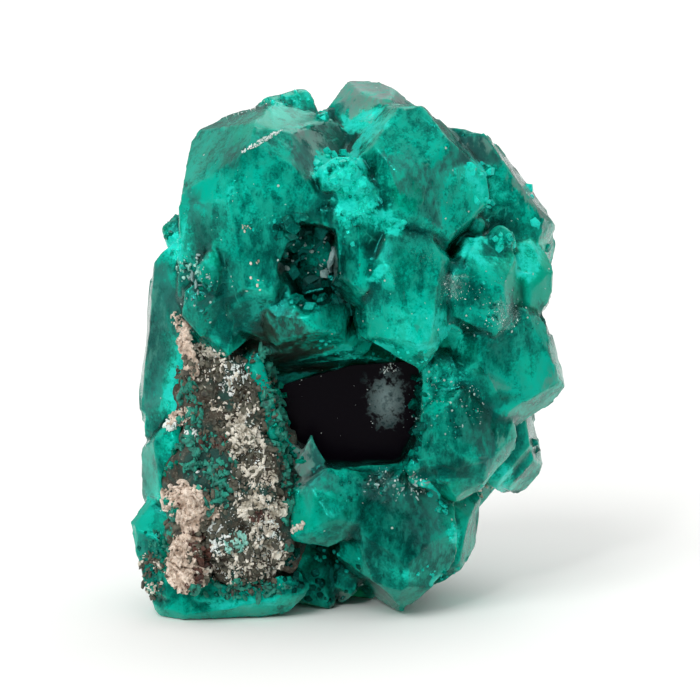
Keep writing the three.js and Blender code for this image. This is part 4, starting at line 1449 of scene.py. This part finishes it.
@dataclass
class Druse:
    """Small crystals and cleavage flakes that sit in the clefts and on the faces."""

    shapes: int = 8
    radius: float = 0.5  # of a crystal whose half length is 1
    taper: Span = (0.8, 1.0)  # the upper radius as a share of the lower one
    depth: float = 2.4  # of the prism before its ends are cut
    tip: Span = (0.85, 1.0)  # how far from the middle the cuts meet the axis
    rhomb_tilt: float = math.radians(51)
    nearest: float = 0.0001  # corners this close to a cut lie on it
    bevel: float = 0.025
    lean: float = 0.7
    flatter: Span = (0.7, 1.0)
    sunk: float = 0.35  # share of its size by which a crystal is sunk
    smallness: float = 1.5  # above 1, small crystals are more common than large ones
    margin: float = 0.9  # least distance to the box's sides, in crystal sizes
    tinted: Span = (0.4, 0.9)  # how much of its field's tint a crystal has
    light: tuple[Span, ...] = ((0.5, 0.9), (0.2, 0.8), (-0.5, 0.5))  # its openness, thinness and tone
    # how much painted highlight the edges of the small crystals get
    worn: float = 0.1
    seed: int = 23

    def crystal(self, rng: Random) -> Mesh:
        """Makes one crystal of half length 1: a six-sided prism closed by three faces at each end.

        Args:
            rng: the source of chance.

        Returns:
            Its mesh.
        """
        shape = bmesh.new()
        bmesh.ops.create_cone(shape, cap_ends=True, segments=6, radius1=self.radius,
                              radius2=self.radius * rng.uniform(*self.taper), depth=self.depth)
        for end in (1, -1):
            for k in range(3):
                around = math.pi / 6 + (2 * k + (end < 0)) * math.pi / 3
                out = Vector((math.sin(self.rhomb_tilt) * math.cos(around),
                              math.sin(self.rhomb_tilt) * math.sin(around), end * math.cos(self.rhomb_tilt)))
                cut_and_close(shape, Vector((0, 0, end * rng.uniform(*self.tip))), out, self.nearest)
        bmesh.ops.bevel(shape, geom=shape.edges[:], offset=self.bevel, segments=1, profile=0.5,
                        affect="EDGES", material=-1)
        bmesh.ops.recalc_face_normals(shape, faces=shape.faces)
        return taken(shape, "small_crystal")

    def build(self, tree: BVHTree, box: Box, material: Material) -> Object:
        """Makes one piece of all the small crystals.

        Args:
            tree: the surface that they grow on.
            box: what they stay within.
            material: their finish.

        Returns:
            The piece.
        """
        rng = Random(self.seed)
        variants = [self.crystal(rng) for _ in range(self.shapes)]
        shape = bmesh.new()
        rows = []
        for spot in DRUSE_FIELDS:
            for _ in range(spot.count):
                put = self.placed(spot, tree, box, rng)
                if put is None:
                    continue
                variant = rng.choice(variants)
                add_copy(shape, variant, put)
                weights = [0.0] * len(Tint)
                weights[spot.tint.value] = rng.uniform(*self.tinted)
                light = [rng.uniform(*span) for span in self.light]
                rows += [[*weights, 0.0, *light, self.worn, 0.0, rng.random()]] * len(variant.vertices)
        mesh = taken(shape, "small_crystals")
        for variant in variants:
            bpy.data.meshes.remove(variant)
        columns = np.array(rows).T
        for i, name in enumerate(("tint", "state", "veil", "light", "relief")):
            store(mesh, name, *columns[3 * i:3 * i + 3])
        return new_object("small_crystals", mesh, material)

    def placed(self, spot: DruseField, tree: BVHTree, box: Box, rng: Random) -> Matrix | None:
        """Chooses where one small crystal stands.

        Args:
            spot: its field.
            tree: the surface that it grows on.
            box: what it stays within.
            rng: the source of chance.

        Returns:
            Its matrix, or None where it finds no room.
        """
        place, normal = spot.view.hit(tree, *pixel_in_oval(spot, rng))
        size = (spot.least + (spot.most - spot.least) * rng.random() ** self.smallness) * MM
        if place is None or room(place, box) < self.margin * size:
            return None
        jitter = Vector([rng.uniform(-self.lean, self.lean) for _ in range(3)])
        leaning = (normal + jitter).normalized().to_track_quat("Z", "Y").to_matrix().to_4x4()
        turn = leaning @ Matrix.Rotation(rng.uniform(0, math.tau), 4, "Z")
        stretch = Matrix.Diagonal((spot.flat, 1.0, rng.uniform(*self.flatter), 1.0))
        return Matrix.Translation(place - normal * size * self.sunk) @ turn @ Matrix.Scale(size, 4) @ stretch


@dataclass
class Studio:
    """A plain pale floor and soft studio light, brightest overhead."""

    floor_size: float = 6.0
    floor_hex: str = "f6f6f4"
    overhead: float = 0.95
    level: float = 0.22
    rise: Span = (0.1, 0.85)  # the heights between which the light goes from level to overhead
    lights: tuple[tuple[str, Triple, float, float], ...] = (
        ("key_light", (-0.5, -0.8, 0.9), 30, 1.3), ("glint_light", (-0.35, -0.9, 0.6), 5, 0.35),
        ("back_light", (0.4, 0.7, 1.0), 50, 0.6))  # name, direction, width in degrees, watts a square metre

    def build(self) -> None:
        """Makes the floor, the world and the lights."""
        self.floor()
        self.world()
        for light in self.lights:
            self.softlight(*light)
        bpy.context.scene.view_settings.view_transform = "Standard"

    def floor(self) -> None:
        """Makes the floor, a board painted matt: even and pale, with a soft shadow on it."""
        shape = bmesh.new()
        bmesh.ops.create_grid(shape, x_segments=1, y_segments=1, size=self.floor_size / 2)
        floor = bpy.data.objects.new("studio_floor", taken(shape, "studio_floor"))
        bpy.context.scene.collection.objects.link(floor)
        material = bpy.data.materials.new("matt_pale_board")
        tree = empty_tree(material)
        shader = add_node(tree, "BsdfPrincipled", {
            "Base Color": linear(self.floor_hex), "Roughness": 0.9, "Specular IOR Level": 0.1})
        add_node(tree, "OutputMaterial", {"Surface": shader})
        floor.data.materials.append(material)
        floor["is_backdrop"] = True

    def world(self) -> None:
        """Makes the even light all round, which grows brighter overhead."""
        world = bpy.data.worlds.new("studio")
        tree = empty_tree(world)
        way = add_node(tree, "TexCoord").outputs["Generated"]
        height = add_node(tree, "SeparateXYZ", {"Vector": way}).outputs["Z"]
        glow = add_node(tree, "MapRange", {
            "Value": height, "From Min": self.rise[0], "From Max": self.rise[1], "To Min": self.level,
            "To Max": self.overhead}, interpolation_type="SMOOTHSTEP")
        sky = add_node(tree, "Background", {"Color": (1, 1, 1, 1), "Strength": glow})
        add_node(tree, "OutputWorld", {"Surface": sky})
        bpy.context.scene.world = world

    def softlight(self, name: str, way: Triple, spread: float, strength: float) -> None:
        """Adds an even soft light from far off.

        Args:
            name: the light's name.
            way: the direction that it stands in.
            spread: how wide it looks, in degrees.
            strength: its strength in watts a square metre.
        """
        data = bpy.data.lights.new(name, "SUN")
        data.angle = math.radians(spread)
        data.energy = strength
        lamp = bpy.data.objects.new(name, data)
        lamp.rotation_euler = (-Vector(way)).to_track_quat("-Z", "Y").to_euler()
        bpy.context.scene.collection.objects.link(lamp)


def main() -> None:
    """Builds the dressed specimen and its studio."""
    logging.basicConfig(level=logging.INFO, format="%(message)s")
    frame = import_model()
    nodes = frame["nodes"]
    VIEW.place_camera()
    Studio().build()
    crystals = CrystalCluster().build(nodes["dioptase_crystals"])
    rock = RoughLump("host_rock", "host_rock", 0.17 * MM, 0.5 * MM, 1.3 * MM, 0.05 * MM).build(
        nodes["host_rock"], RockFinish().material())
    crust = CrumbFinish("beige_calcite", "856e5a", "ecd8c6").material()
    crusts = [RoughLump(name, "calcite_crust", 0.1 * MM, 0.36 * MM, 0.55 * MM, grow * MM).build(
        nodes[name], crust) for name, grow in (("pale_crust_lower", -0.16), ("pale_crust_upper", -0.24))]
    dark = DarkFace().build()
    ground = surface_tree(*[piece.data for piece in (crystals, rock, dark, *crusts)])
    Druse().build(ground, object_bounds(), crystals.data.materials[0])
    Crumbs().build(ground, surface_tree(*[piece.data for piece in (rock, *crusts)]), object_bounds())


if __name__ == "__main__":
    main()
